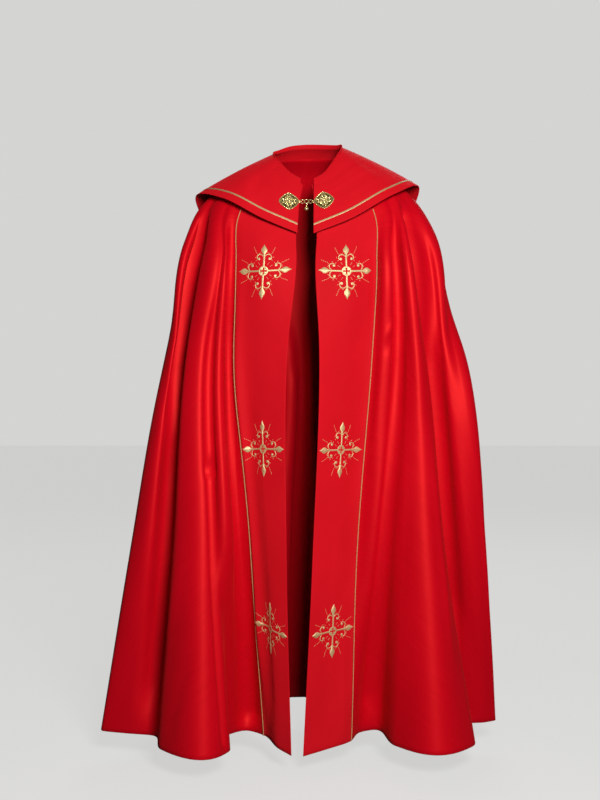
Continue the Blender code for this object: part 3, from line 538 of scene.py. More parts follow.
# ------------------------------------------------------------------ creases
# Soft troughs and ridges on the cloth's own form, a row for each. u, t: where it starts and ends
# (u counts the rows of FOLDS, t goes from neck to hem); sway: rows that it strays half way;
# wide: its half width in metres; deep: metres out (+) or in (-); open, close: the parts of its
# length over which it fades in and out.
CREASES = (
    # name                u0     t0     u1     t1    sway    wide    deep   open  close
    ("valley_left_top",   8.75,  0.13,  8.05,  0.50,  0.00,  0.0240, -0.0320, 0.20, 0.30),
    ("valley_left_line",  7.98,  0.38,  8.25,  1.00, -0.05,  0.0280, -0.0280, 0.30, 0.15),
    ("pleat_top",         5.35,  0.24,  5.40,  0.56,  0.05,  0.0130, -0.0120, 0.50, 0.03),
    ("pleat_low",         5.36,  0.52,  5.25,  1.00,  0.05,  0.0100, -0.0125, 0.06, 0.06),
    ("ridge_left_2",      4.30,  0.13,  4.40,  0.60, -0.06,  0.0140,  0.0040, 0.25, 0.45),
    ("gully_left_top",    3.00,  0.11,  3.12,  0.64,  0.05,  0.0135, -0.0190, 0.15, 0.40),
    ("gully_left_wide",   3.20,  0.42,  2.85,  1.00,  0.00,  0.0240, -0.0220, 0.35, 0.05),
    ("seam_roll_left",    2.00,  0.18,  1.75,  1.00,  0.00,  0.0165,  0.0140, 0.35, 0.30),
    ("ridge_right_0",    29.50,  0.12, 29.55,  0.60, -0.05,  0.0130,  0.0070, 0.20, 0.40),
    ("by_seam_right",    30.05,  0.15, 29.95,  0.36,  0.05,  0.0110, -0.0090, 0.30, 0.45),
    ("valley_right_top", 28.35,  0.13, 28.35,  0.50, -0.10,  0.0150, -0.0160, 0.20, 0.35),
    ("valley_right",     28.45,  0.34, 28.45,  1.00,  0.05,  0.0240, -0.0200, 0.25, 0.10),
    ("kink_right",       28.20,  0.295, 29.80, 0.345, 0.00,  0.0080,  0.0045, 0.35, 0.50),
    ("kink_right_under", 28.50,  0.325, 29.70, 0.370, 0.00,  0.0080, -0.0035, 0.35, 0.50),
    ("ridge_right_1",    26.05,  0.11, 25.90,  0.46, -0.05,  0.0140,  0.0085, 0.15, 0.50),
    ("ridge_right_edge", 25.45,  0.44, 25.35,  0.90,  0.00,  0.0150,  0.0080, 0.35, 0.40),
    ("lap_right_top",    25.05,  0.12, 24.55,  0.36,  0.00,  0.0140, -0.0230, 0.15, 0.20),
    ("lap_right",        24.55,  0.30, 24.25,  0.88, -0.25,  0.0210, -0.0330, 0.15, 0.20),
    ("lap_right_low",    24.30,  0.70, 24.15,  1.00,  0.00,  0.0180, -0.0220, 0.35, 0.04),
    ("flank_right_lift", 24.00,  0.17, 23.70,  0.34,  0.00,  0.0150,  0.0030, 0.30, 0.45),
    ("flank_right_top",  23.40,  0.16, 23.30,  0.40,  0.10,  0.0160, -0.0120, 0.30, 0.40),
    # small ones, uneven, that break up the long folds
    ("elbow_left",        9.60,  0.37,  8.40,  0.50,  0.10,  0.0160, -0.0026, 0.40, 0.50),
    ("hip_left",          6.80,  0.62,  7.30,  0.86, -0.12,  0.0200,  0.0022, 0.40, 0.50),
    ("shin_left",         6.10,  0.78,  6.80,  0.99,  0.10,  0.0180, -0.0022, 0.50, 0.20),
    ("low_left",          9.05,  0.66,  9.30,  0.97, -0.12,  0.0220, -0.0032, 0.40, 0.30),
    ("elbow_right",      23.40,  0.34, 22.50,  0.48, -0.12,  0.0160, -0.0030, 0.40, 0.50),
    ("hip_right",        26.80,  0.56, 27.10,  0.84,  0.12,  0.0200, -0.0024, 0.45, 0.45),
    ("low_right",        23.00,  0.60, 23.20,  0.97,  0.15,  0.0220, -0.0032, 0.40, 0.25),
    ("band_left_low",     1.15,  0.60,  1.30,  0.98,  0.05,  0.0240, -0.0040, 0.40, 0.20),
    ("band_right_low",   31.25,  0.62, 31.15,  0.98, -0.06,  0.0180, -0.0024, 0.40, 0.20),
    ("band_right_hem",   30.45,  0.78, 30.35,  1.00,  0.03,  0.0130,  0.0028, 0.40, 0.10),
    # the sides and the back, where the folds are like those in front
    ("side_left_1",      10.10,  0.16, 10.40,  0.62,  0.12,  0.0160, -0.0070, 0.30, 0.45),
    ("side_left_2",      10.75,  0.30, 10.55,  0.95, -0.15,  0.0200,  0.0045, 0.30, 0.35),
    ("side_left_3",      11.35,  0.18, 11.60,  0.54,  0.10,  0.0150, -0.0052, 0.35, 0.40),
    ("back_1",           12.30,  0.30, 12.10,  0.92,  0.10,  0.0200, -0.0048, 0.30, 0.35),
    ("back_2",           13.25,  0.14, 13.05,  0.70, -0.10,  0.0150, -0.0072, 0.25, 0.40),
    ("back_3",           13.75,  0.38, 13.60,  0.98,  0.08,  0.0190,  0.0040, 0.35, 0.30),
    ("back_4",           14.45,  0.34, 14.80,  0.66, -0.08,  0.0160, -0.0044, 0.35, 0.45),
    ("back_5",           15.30,  0.30, 15.05,  0.86,  0.08,  0.0150, -0.0066, 0.25, 0.35),
    ("back_6",           16.30,  0.44, 16.15,  0.98, -0.08,  0.0180, -0.0036, 0.35, 0.30),
    ("back_7",           16.80,  0.32, 17.10,  0.64,  0.06,  0.0150, -0.0060, 0.30, 0.45),
    ("back_8",           17.75,  0.50, 17.90,  0.99, -0.10,  0.0190,  0.0038, 0.40, 0.25),
    ("back_9",           18.60,  0.30, 18.95,  0.78,  0.10,  0.0160, -0.0058, 0.25, 0.40),
    ("back_10",          19.45,  0.28, 19.25,  0.90, -0.08,  0.0180, -0.0040, 0.35, 0.35),
    ("back_11",          20.10,  0.14, 20.30,  0.58,  0.08,  0.0150, -0.0068, 0.30, 0.45),
    ("back_12",          20.70,  0.42, 20.50,  0.96,  0.10,  0.0200,  0.0042, 0.35, 0.30),
    ("side_right_1",     21.45,  0.20, 21.25,  0.66, -0.10,  0.0160, -0.0062, 0.30, 0.45),
    ("side_right_2",     21.80,  0.36, 21.95,  0.94,  0.12,  0.0200, -0.0040, 0.35, 0.35),
    ("side_right_3",     22.25,  0.16, 22.05,  0.48,  0.08,  0.0140, -0.0054, 0.30, 0.45),
    ("back_slant_1",     15.60,  0.36, 14.60,  0.44,  0.00,  0.0170,  0.0028, 0.45, 0.50),
    ("back_slant_2",     18.10,  0.40, 19.10,  0.50,  0.00,  0.0170, -0.0028, 0.45, 0.50),
    ("back_slant_3",     12.60,  0.24, 11.70,  0.33,  0.00,  0.0150,  0.0030, 0.45, 0.50),
    ("back_slant_4",     20.60,  0.26, 21.60,  0.36,  0.00,  0.0150, -0.0030, 0.45, 0.50),
)


HOOD_CREASES = (
    # name                u0     t0     u1     t1    sway    wide    deep   open  close
    ("collar_nick",       1.70,  0.14,  1.62,  0.30,  0.00,  0.0060, -0.0022, 0.35, 0.45),
    ("breast_left",       1.70,  0.34,  1.45,  0.86,  0.06,  0.0170, -0.0026, 0.40, 0.40),
    ("collar_left",       2.60,  0.24,  2.45,  0.72,  0.08,  0.0180,  0.0020, 0.40, 0.45),
    ("shoulder_left",     3.55,  0.30,  3.75,  0.85, -0.06,  0.0200, -0.0030, 0.35, 0.35),
    ("blade_left",        4.75,  0.26,  4.60,  0.88,  0.10,  0.0220, -0.0038, 0.35, 0.30),
    ("back_left",         5.40,  0.40,  5.60,  0.92, -0.05,  0.0200,  0.0028, 0.40, 0.30),
    ("back_right",        6.55,  0.28,  6.35,  0.84,  0.06,  0.0220, -0.0034, 0.35, 0.35),
    ("blade_right",       7.45,  0.36,  7.60,  0.90, -0.08,  0.0190,  0.0030, 0.40, 0.30),
    ("shoulder_right",    8.45,  0.26,  8.30,  0.80,  0.06,  0.0200, -0.0034, 0.35, 0.35),
    ("collar_right",      9.60,  0.28,  9.75,  0.78,  0.05,  0.0180, -0.0022, 0.40, 0.45),
    ("breast_right",     10.60,  0.38, 10.75,  0.84, -0.05,  0.0160,  0.0018, 0.40, 0.45),
)


def crease_field(us, ts, base, rows=CREASES, form=mantle_pairs):
    """How far each point of the grid moves out along its normal."""
    out = np.zeros(base.shape[:2])
    w = np.linspace(0.0, 1.0, 61)
    for name, u0, t0, u1, t1, sway, wide, deep, opening, closing in rows:
        pu = u0 + (u1 - u0) * w + sway * np.sin(np.pi * w)
        pt = t0 + (t1 - t0) * w
        path = form(pu, pt)
        step = np.linalg.norm(np.diff(path, axis=0), axis=1)
        along = np.concatenate([[0.0], np.cumsum(step)])
        along /= along[-1]
        reach_u = 2.2
        iu = np.where((us > pu.min() - reach_u) & (us < pu.max() + reach_u))[0]
        jt = np.where((ts > pt.min() - 0.06) & (ts < pt.max() + 0.06))[0]
        if not len(iu) or not len(jt):
            continue
        patch = base[np.ix_(iu, jt)].reshape(-1, 3)
        best = np.full(len(patch), 1e9)
        where = np.zeros(len(patch))
        for k in range(len(path) - 1):
            a, b = path[k], path[k + 1]
            ab = b - a
            s = np.clip(((patch - a) @ ab) / max(ab @ ab, 1e-12), 0.0, 1.0)
            d = np.linalg.norm(patch - (a + s[:, None] * ab), axis=1)
            nearer = d < best
            best[nearer] = d[nearer]
            where[nearer] = (along[k] + s * (along[k + 1] - along[k]))[nearer]
        fade = np.ones(len(patch))
        if opening > 0:
            fade *= smooth(where / opening)
        if closing > 0:
            fade *= smooth((1.0 - where) / closing)
        value = deep * fade * np.exp(-(best / wide) ** 2)
        out[np.ix_(iu, jt)] += value.reshape(len(iu), len(jt))
    return out


def smooth(x):
    x = np.clip(x, 0.0, 1.0)
    return x * x * (3 - 2 * x)


# ------------------------------------------------------------------ cloth panels
def columns(*parts):
    """Values of u: (from, to, columns a row) for each stretch."""
    out = []
    for start, end, per in parts:
        n = int(round((end - start) * per))
        out += [start + (end - start) * k / n for k in range(n)]
    return np.array(out + [parts[-1][1]])


def cut_uv(us, ts):
    """Where each point lay in the flat cut, in metres: half a circle round the neck."""
    radius = 0.02 + ts * LENGTH * 0.955
    turn = math.pi * us / LAST
    return np.stack([np.outer(np.cos(turn), radius), np.outer(np.sin(turn), radius)], axis=2)


def strip_uv(points):
    """Metres across and down a straight strip."""
    across = np.concatenate([np.zeros((1, points.shape[1])), np.cumsum(np.linalg.norm(
        np.diff(points, axis=0), axis=2), axis=0)])
    down = np.concatenate([np.zeros((points.shape[0], 1)), np.cumsum(np.linalg.norm(
        np.diff(points, axis=1), axis=2), axis=1)], axis=1)
    return np.stack([across, down], axis=2)


def cloth_sheet(us, ts):
    base = mantle_grid(us, ts)
    out = crease_field(us, ts, base)
    return Sheet(us, ts, base + normals_of(base) * out[..., None])


DEPTHS = np.linspace(0.0, 1.0, 131)
BACK_AND_SIDES = columns((SEAM_L, 9, 16), (9, 21, 8), (21, SEAM_R, 16))
MANTLE = cloth_sheet(BACK_AND_SIDES, DEPTHS)
LEFT = cloth_sheet(columns((0, SEAM_L, 44)), DEPTHS)
RIGHT = cloth_sheet(columns((SEAM_R, LAST, 44)), DEPTHS)


def trimmed(sheet, first, last):
    """The sheet's points with its first and last columns drawn in by a gap."""
    points = sheet.points.copy()
    for index, beside, gap in ((0, 1, first), (-1, -2, last)):
        if gap:
            d = points[beside] - points[index]
            points[index] += gap * d / np.linalg.norm(d, axis=1, keepdims=True)
    return points


def cloth_piece(name, sheet, first, last, wall, uv, bulge, material):
    ob = shell(name, trimmed(sheet, first, last), sheet.normals, wall, uv, bulge)
    return wear(ob, material, "root", (name,))


mantle_ob = cloth_piece("mantle", MANTLE, SEAM_GAP / 2, SEAM_GAP / 2, 0.0019,
                        cut_uv(MANTLE.us, MANTLE.ts), (0, 0, 0.5, 1.0), SATIN)
left_ob = cloth_piece("orphrey_left", LEFT, 0.0, SEAM_GAP / 2, 0.0019,
                      strip_uv(LEFT.points), (1.0, 0, 0.5, 1.0), BAND)
right_ob = cloth_piece("orphrey_right", RIGHT, SEAM_GAP / 2, 0.0, 0.0019,
                       strip_uv(RIGHT.points), (0, 1.0, 0.5, 1.0), BAND)

# ------------------------------------------------------------------ hood
HOOD_US = columns((0, 12, 22))
HOOD_TS = np.concatenate([np.linspace(0.0, STAND_PART, 9)[:-1], np.linspace(STAND_PART, 1.0, 62)])
_u, _t = np.meshgrid(HOOD_US, HOOD_TS, indexing="ij")
_base = hood_pairs(_u.ravel(), _t.ravel()).reshape(len(HOOD_US), len(HOOD_TS), 3)
_out = crease_field(HOOD_US, HOOD_TS, _base, HOOD_CREASES, hood_pairs)
HOOD_SHEET = Sheet(HOOD_US, HOOD_TS, _base + normals_of(_base) * _out[..., None])
hood_ob = shell("hood", HOOD_SHEET.points, HOOD_SHEET.normals, HOOD_WALL,
                strip_uv(HOOD_SHEET.points), (1.0, 1.0, 1.0, 1.0))
wear(hood_ob, BAND, "root", ("hood",))


# ------------------------------------------------------------------ ornament helpers
class Heap:
    """Gathers grids of points into one mesh."""

    def __init__(self):
        self.verts, self.quads, self.tris, self.uvs, self.count = [], [], [], [], 0

    def grid(self, points, uv, wrap_rows=False, wrap_cols=False):
        rows, cols = points.shape[:2]
        i = np.arange(rows if wrap_rows else rows - 1)
        j = np.arange(cols if wrap_cols else cols - 1)
        i, j = np.meshgrid(i, j, indexing="ij")
        i2, j2 = (i + 1) % rows, (j + 1) % cols
        q = np.stack([i * cols + j, i2 * cols + j, i2 * cols + j2, i * cols + j2], axis=-1)
        self.quads.append(q.reshape(-1, 4) + self.count)
        self.verts.append(points.reshape(-1, 3))
        self.uvs.append(np.asarray(uv, float).reshape(-1, 2))
        self.count += rows * cols

    def cap(self, loop, tone):
        """Closes a loop of points to its middle."""
        n = len(loop)
        k = np.arange(n)
        self.tris.append(np.stack([k, (k + 1) % n, np.full(n, n)], axis=1) + self.count)
        self.verts.append(np.concatenate([loop, loop.mean(axis=0)[None]]))
        self.uvs.append(np.tile(tone, (n + 1, 1)))
        self.count += n + 1

    def piece(self, name, material, body="root", slot=None, replaces=(), turn_out=True):
        tris = np.concatenate(self.tris) if self.tris else None
        ob = new_mesh(name, np.concatenate(self.verts), np.concatenate(self.quads),
                      np.concatenate(self.uvs), tris)
        if turn_out:
            fix_normals(ob)
        return wear(ob, material, body, replaces)


def unit(v):
    return v / np.maximum(np.linalg.norm(v, axis=-1, keepdims=True), 1e-12)


def along_path(path, closed=False):
    if closed:
        ahead = np.roll(path, -1, axis=0) - np.roll(path, 1, axis=0)
    else:
        ahead = np.gradient(path, axis=0)
    return unit(ahead)


def run_of(path):
    return np.concatenate([[0.0], np.cumsum(np.linalg.norm(np.diff(path, axis=0), axis=1))])


def tube(heap, path, radius, sides=8, ref=(0.0, 1.0, 0.0), closed=False, tone=1.0, flat=1.0):
    """A round wire along a path; radius may be one number or one for each point."""
    path = np.asarray(path, float)
    radius = np.broadcast_to(radius, (len(path),))
    ahead = along_path(path, closed)
    up = np.broadcast_to(np.asarray(ref, float), path.shape)
    side = unit(np.cross(ahead, up))
    up = unit(np.cross(side, ahead))
    a = 2 * np.pi * np.arange(sides) / sides
    ring = (np.cos(a)[None, :, None] * side[:, None] + flat * np.sin(a)[None, :, None] * up[:, None])
    points = path[:, None] + radius[:, None, None] * ring
    tones = np.broadcast_to(np.asarray(tone, float), (len(path),))
    run = run_of(path)
    uv = np.stack([np.broadcast_to(run[:, None], points.shape[:2]),
                   np.broadcast_to(tones[:, None], points.shape[:2])], axis=-1)
    heap.grid(points, uv, wrap_rows=closed, wrap_cols=True)
    if not closed:
        heap.cap(points[0], (run[0], tones[0]))
        heap.cap(points[-1], (run[-1], tones[-1]))


def ball(heap, centre, radius, axes=None, squash=1.0, tone=1.0, rows=7, cols=12):
    """A ball, flattened along its third axis by squash."""
    axes = np.eye(3) if axes is None else np.asarray(axes)
    lat = np.linspace(-np.pi / 2, np.pi / 2, rows + 2)[1:-1]
    lon = 2 * np.pi * np.arange(cols) / cols
    x = np.cos(lat)[:, None] * np.cos(lon)[None]
    y = np.cos(lat)[:, None] * np.sin(lon)[None]
    z = np.broadcast_to(np.sin(lat)[:, None], x.shape) * squash
    points = centre + radius * (x[..., None] * axes[0] + y[..., None] * axes[1]
                                + z[..., None] * axes[2])
    uv = np.full(x.shape + (2,), tone)
    heap.grid(points, uv, wrap_cols=True)
    heap.cap(points[0], (tone, tone))
    heap.cap(points[-1], (tone, tone))


def spline(knots, per=6, closed=False):
    """A smooth curve through a few named places."""
    k = np.asarray(knots, float)
    if closed:
        k = np.concatenate([k[-1:], k, k[:2]])
    else:
        k = np.concatenate([2 * k[:1] - k[1:2], k, 2 * k[-1:] - k[-2:-1]])
    w = np.linspace(0, 1, per, endpoint=False)[:, None]
    out = []
    for a, b, c, d in zip(k, k[1:], k[2:], k[3:]):
        out.append(0.5 * (2 * b + (c - a) * w + (2 * a - 5 * b + 4 * c - d) * w ** 2
                          + (3 * b - a - 3 * c + d) * w ** 3))
    out = np.concatenate(out)
    return out if closed else np.concatenate([out, k[-2:-1]])


class Patch:
    """Metres to the right and up, round one place of a sheet, laid on the cloth."""

    def __init__(self, sheet, u, t, roll=0.0, lean=0.0, wide=1.0):
        """roll: degrees that all of it turns to the left; lean: that its upright leans so;
        wide: its width as a share of the usual."""
        self.sheet = sheet
        roll, lean = math.radians(roll), math.radians(lean)
        self.turn = np.array([(wide * math.cos(roll), wide * math.sin(roll)),
                              (-math.sin(roll + lean), math.cos(roll + lean))])
        us, ts, points = sheet.us, sheet.ts, sheet.points
        line = sheet.at(np.full(len(ts), u), ts)
        run = run_of(line)
        self.down = run - np.interp(t, ts, run)
        step = np.linalg.norm(np.diff(points, axis=0), axis=2)
        across = np.concatenate([np.zeros((1, len(ts))), np.cumsum(step, axis=0)])
        i = int(np.clip(np.searchsorted(us, u) - 1, 0, len(us) - 2))
        w = (u - us[i]) / (us[i + 1] - us[i])
        self.across = across - (across[i] * (1 - w) + across[i + 1] * w)
        du = unit(sheet.at([u + 0.02], [t])[0] - sheet.at([u - 0.02], [t])[0])
        dt = unit(sheet.at([u], [t + 0.003])[0] - sheet.at([u], [t - 0.003])[0])
        self.skew = float(du @ dt)

    def lay(self, xy, lift):
        """xy: metres [n, 2], lift: metres over the cloth's middle."""
        xy = np.asarray(xy, float) @ self.turn
        a = -xy[:, 0] / math.sqrt(1 - self.skew ** 2)
        down = -xy[:, 1] - self.skew * a
        us, ts = self.sheet.us, self.sheet.ts
        t = np.interp(down, self.down, ts)
        j = np.clip(np.searchsorted(ts, t, side="right") - 1, 0, len(ts) - 2)
        w = (t - ts[j]) / (ts[j + 1] - ts[j])
        row = self.across[:, j] * (1 - w) + self.across[:, j + 1] * w
        i = np.clip((row < a).sum(axis=0) - 1, 0, len(us) - 2)
        n = np.arange(len(a))
        part = (a - row[i, n]) / (row[i + 1, n] - row[i, n])
        u = us[i] + part * (us[i + 1] - us[i])
        return self.sheet.at(u, t) + self.sheet.normal(u, t) * np.broadcast_to(lift, a.shape)[:, None]


ACROSS = np.array([-1.0, -0.62, 0.0, 0.62, 1.0])
DOME = np.array([0.0, 0.74, 1.0, 0.74, 0.0])
PITCHED = np.array([0.95, 1.0, 0.72, 0.38, 0.0])      # half of a spear head, high at its middle line


def stitch(heap, patch, path, half, rise, base, closed=False, dome=DOME):
    """Satin stitch: a domed band of thread along a path of metres on the patch."""
    path = np.asarray(path, float)
    half = np.broadcast_to(half, (len(path),))
    ahead = along_path(path, closed)
    side = np.stack([-ahead[:, 1], ahead[:, 0]], axis=1)
    xy = path[:, None] + (half[:, None] * ACROSS[None])[..., None] * side[:, None]
    full = np.minimum(1.0, half / 0.0012)[:, None]
    lift = base + rise * dome[None] * full
    points = patch.lay(xy.reshape(-1, 2), lift.ravel()).reshape(len(path), 5, 3)
    run = run_of(path)
    uv = np.stack([np.broadcast_to(run[:, None], (len(path), 5)),
                   np.broadcast_to(half[:, None] * ACROSS[None], (len(path), 5))], axis=-1)
    heap.grid(points, uv, wrap_rows=closed)


# ------------------------------------------------------------------ embroidery
CLOTH_TOP = 0.00097       # from the cloth's middle to just over its face
ARM = 0.066               # a cross from its centre to a tip

# All in parts of ARM. out: along an arm from the centre, aside: to one side of it.
SPEAR = (
    # out   half
    (0.545, 0.030), (0.600, 0.038), (0.660, 0.060), (0.720, 0.092), (0.772, 0.108),
    (0.812, 0.098), (0.860, 0.070), (0.910, 0.042), (0.960, 0.018), (1.000, 0.001),
)
SCROLL = (
    # out   aside  half
    (0.532, 0.026, 0.011), (0.578, 0.072, 0.014), (0.604, 0.132, 0.0155), (0.596, 0.198, 0.016),
    (0.550, 0.248, 0.016), (0.484, 0.266, 0.0155), (0.426, 0.244, 0.014), (0.406, 0.205, 0.013),
)
SCROLL_BALL = (0.440, 0.194, 0.049)
WEDGE = (
    # out   half
    (0.040, 0.004), (0.062, 0.026), (0.082, 0.045), (0.098, 0.056), (0.112, 0.060), (0.126, 0.050),
)
RUNNING = (
    # name      out0   aside0  out1   aside1 stitches
    ("ray",     0.645, 0.285,  0.905, 0.402, 4),
    ("turn",    0.632, 0.262,  0.592, 0.222, 1),
    ("back",    0.628, 0.200,  0.672, 0.118, 2),
    ("flick",   0.470, 0.310,  0.520, 0.360, 1),
    ("hook",    0.395, 0.268,  0.345, 0.318, 1),
    ("fan",     0.225, 0.140,  0.315, 0.205, 2),
)
CROSSES = (
    # name             sheet    u      t       roll  lean  wide
    ("left_chest",    "left",  0.965, 0.2140,  0.0, -3.6, 1.00),
    ("left_knee",     "left",  1.060, 0.5120,  0.0,  0.0, 0.945),
    ("left_hem",      "left",  1.145, 0.7990, -4.0,  0.0, 0.92),
    ("right_chest",   "right", 31.09, 0.2133,  3.0,  0.0, 1.00),
    ("right_knee",    "right", 30.96, 0.5133,  0.0,  0.0, 1.00),
    ("right_hem",     "right", 30.91, 0.8027,  0.0,  0.0, 1.00),
)


def turned(points, quarter):
    c, s = ((1, 0), (0, 1), (-1, 0), (0, -1))[quarter]
    x, y = points[:, 0], points[:, 1]
    return np.stack([c * x - s * y, s * x + c * y], axis=1)


def cross_threads(patch):
    """The gold satin stitch and the thin running stitches of one cross."""
    gold, thin = Heap(), Heap()
    spear = spline(SPEAR, 4)
    scroll = spline(SCROLL, 5)
    wedge = np.asarray(WEDGE)
    for quarter in range(4):
        bar = np.stack([np.linspace(0.165, 0.57, 22), np.zeros(22)], axis=1) * ARM
        stitch(gold, patch, turned(bar, quarter), 0.029 * ARM, 0.00075, CLOTH_TOP)
        for side in (-1.0, 1.0):
            half = 0.5 * spear[:, 1]
            leaf = np.stack([spear[:, 0], side * half], axis=1) * ARM
            stitch(gold, patch, turned(leaf, quarter), np.maximum(half, 0.0005) * ARM, 0.00165,
                   CLOTH_TOP, dome=PITCHED[::int(side)])
            curl = np.stack([scroll[:, 0], side * scroll[:, 1]], axis=1) * ARM
            stitch(gold, patch, turned(curl, quarter), scroll[:, 2] * ARM, 0.00060, CLOTH_TOP)
            out, aside, size = SCROLL_BALL
            drop = np.stack([out + size * np.linspace(-1, 1, 11), np.full(11, side * aside)], axis=1)
            round_half = size * np.sqrt(np.maximum(1 - np.linspace(-1, 1, 11) ** 2, 0.02))
            stitch(gold, patch, turned(drop * ARM, quarter), round_half * ARM, 0.00085, CLOTH_TOP)
            for _, r0, s0, r1, s1, count in RUNNING:
                ends = np.array([(r0, side * s0), (r1, side * s1)]) * ARM
                way = (ends[1] - ends[0])
                length = np.linalg.norm(way)
                pitch = length / count
                for k in range(count):
                    w = np.linspace(k * pitch, k * pitch + min(0.0034, 0.78 * pitch), 5) / length
                    dash = ends[0] + w[:, None] * way
                    stitch(thin, patch, turned(dash, quarter),
                           0.00048 * np.array([0.55, 1.0, 1.0, 1.0, 0.55]), 0.00060, CLOTH_TOP)
        diagonal = np.stack([wedge[:, 0], wedge[:, 0]], axis=1) / math.sqrt(2) * ARM
        stitch(gold, patch, turned(diagonal, quarter), wedge[:, 1] * ARM, 0.00035, CLOTH_TOP)
    a = np.linspace(0, 2 * np.pi, 64, endpoint=False)
    ring = np.stack([np.cos(a), np.sin(a)], axis=1) * 0.146 * ARM
    stitch(gold, patch, ring, 0.027 * ARM, 0.00050, CLOTH_TOP, closed=True)
    return gold, thin


def thread_material(name, light, dark, metallic, rough, pitch):
    """Gold thread: fine ridges across the run of the stitch, tones that vary from strand to
    strand."""
    m = Nodes(name, Roughness=rough, Metallic=metallic, Specular_IOR_Level=0.6)
    uv = m.add("UVMap").outputs["UV"]
    strand = m.noise(m.mapped(uv, (1.0 / pitch, 60.0, 1.0)), 1.0, 2.0)
    colour = m.ramp(strand, ((0.30, dark), (0.62, light)))
    ridge = m.add("TexWave", wave_type="BANDS", bands_direction="X", Scale=0.314 / pitch,
                  Distortion=0.5, Detail=1.0)
    m.link(uv, ridge.inputs["Vector"])
    height = m.math("ADD", m.math("MULTIPLY", ridge.outputs["Fac"], 0.7),
                    m.math("MULTIPLY", strand, 0.3))
    return m.finish(colour, None, m.bump(height, 0.00018, 0.6))


GOLD = thread_material("gold_thread", (0.82, 0.64, 0.33), (0.52, 0.36, 0.14), 0.44, 0.42, 0.0006)
THIN = thread_material("thin_gold_thread", (0.78, 0.46, 0.22), (0.60, 0.30, 0.12), 0.20, 0.50, 0.0008)
CORD = thread_material("gold_cord", (0.66, 0.36, 0.16), (0.44, 0.20, 0.07), 0.30, 0.48, 0.0007)
for name, where, u, t, roll, lean, wide in CROSSES:
    gold, thin = cross_threads(Patch({"left": LEFT, "right": RIGHT}[where], u, t, roll, lean, wide))
    gold.piece("cross_" + name, GOLD, slot="braid", turn_out=False)
    thin.piece("rays_" + name, THIN, slot="braid", turn_out=False)


# ------------------------------------------------------------------ piping
def seam_line(sheet, other, u, ts):
    points = sheet.at(np.full(len(ts), u), ts)
    normals = unit(sheet.normal(np.full(len(ts), u), ts) + other.normal(np.full(len(ts), u), ts))
    return points, normals


CORD_RADIUS = 0.0013      # of the whole twisted cord
CORD_PITCH = 0.0052
for name, other, u in (("piping_left", LEFT, SEAM_L), ("piping_right", RIGHT, SEAM_R)):
    heap = Heap()
    ts = np.linspace((LEVELS[2] - 0.024) / LENGTH, 1.0, 1500)
    points, normals = seam_line(MANTLE, other, u, ts)
    points = points + normals * (0.0010 + CORD_RADIUS + 0.0003)
    run = run_of(points)
    ahead = along_path(points)
    side = unit(np.cross(ahead, normals))
    for strand in (0.0, np.pi):
        a = 2 * np.pi * run / CORD_PITCH + strand
        off = 0.48 * CORD_RADIUS
        path = points + off * (np.cos(a)[:, None] * normals + np.sin(a)[:, None] * side)
        tube(heap, path, 0.56 * CORD_RADIUS, 6, ref=(0.03, -1.0, 0.02))
    heap.piece(name, CORD, slot="piping", replaces=(name,))


# ------------------------------------------------------------------ hood braid
def braid_material():
    """Woven gold ribbon with a small chevron."""
    m = Nodes("gold_braid", Roughness=0.42, Metallic=0.40, Specular_IOR_Level=0.5)
    uv = m.add("UVMap").outputs["UV"]
    parts = m.add("SeparateXYZ")
    m.link(uv, parts.inputs[0])
    arm = m.math("ABSOLUTE", parts.outputs["Y"])
    phase = m.math("ADD", m.math("MULTIPLY", parts.outputs["X"], 2 * math.pi / 0.0032),
                   m.math("MULTIPLY", arm, 900.0))
    wave = m.math("SINE", phase)
    level = m.math("ADD", m.math("MULTIPLY", wave, 0.5), 0.5)
    grain = m.noise(m.mapped(uv, (1500.0, 1500.0, 1.0)), 1.0, 2.0)
    mixed = m.math("ADD", m.math("MULTIPLY", level, 0.7), m.math("MULTIPLY", grain, 0.3))
    colour = m.ramp(mixed, ((0.15, (0.40, 0.22, 0.08)), (0.60, (0.74, 0.52, 0.27))))
    return m.finish(colour, None, m.bump(mixed, 0.00035, 0.7))


BRAID = braid_material()
_length = np.linalg.norm(np.diff(HOOD_SHEET.points[:, 8:], axis=1), axis=2).sum(axis=1)
_a = np.linspace(0.0, float(len(HOOD) - 1), 640)
_l = np.interp(_a, HOOD_US, _length)
_in = 1.0 - (BRAID_INSET + BRAID_WIDTH) / _l * (1 - STAND_PART)
_out = 1.0 - BRAID_INSET / _l * (1 - STAND_PART)
_grid, _uvs = [], []
_run = None
for share, rise in ((0.0, 0.00005), (0.0, 0.00045), (0.14, 0.00072), (0.36, 0.00085),
                    (0.5, 0.00078), (0.64, 0.00085), (0.86, 0.00072), (1.0, 0.00045),
                    (1.0, 0.00005)):
    tt = _in + (_out - _in) * share
    line = HOOD_SHEET.at(_a, tt) + HOOD_SHEET.normal(_a, tt) * (HOOD_WALL / 2 + rise)
    _run = run_of(line) if _run is None else _run
    _grid.append(line)
    _uvs.append(np.stack([_run, np.full(len(_a), (share - 0.5) * BRAID_WIDTH)], axis=1))
heap = Heap()
heap.grid(np.stack(_grid, axis=1), np.stack(_uvs, axis=1), wrap_cols=True)
for end in (0, -1):
    heap.cap(np.stack(_grid, axis=1)[end], (0.0, 0.0))
hood_braid_ob = heap.piece("hood_braid", BRAID, slot="braid", replaces=("hood_braid",))


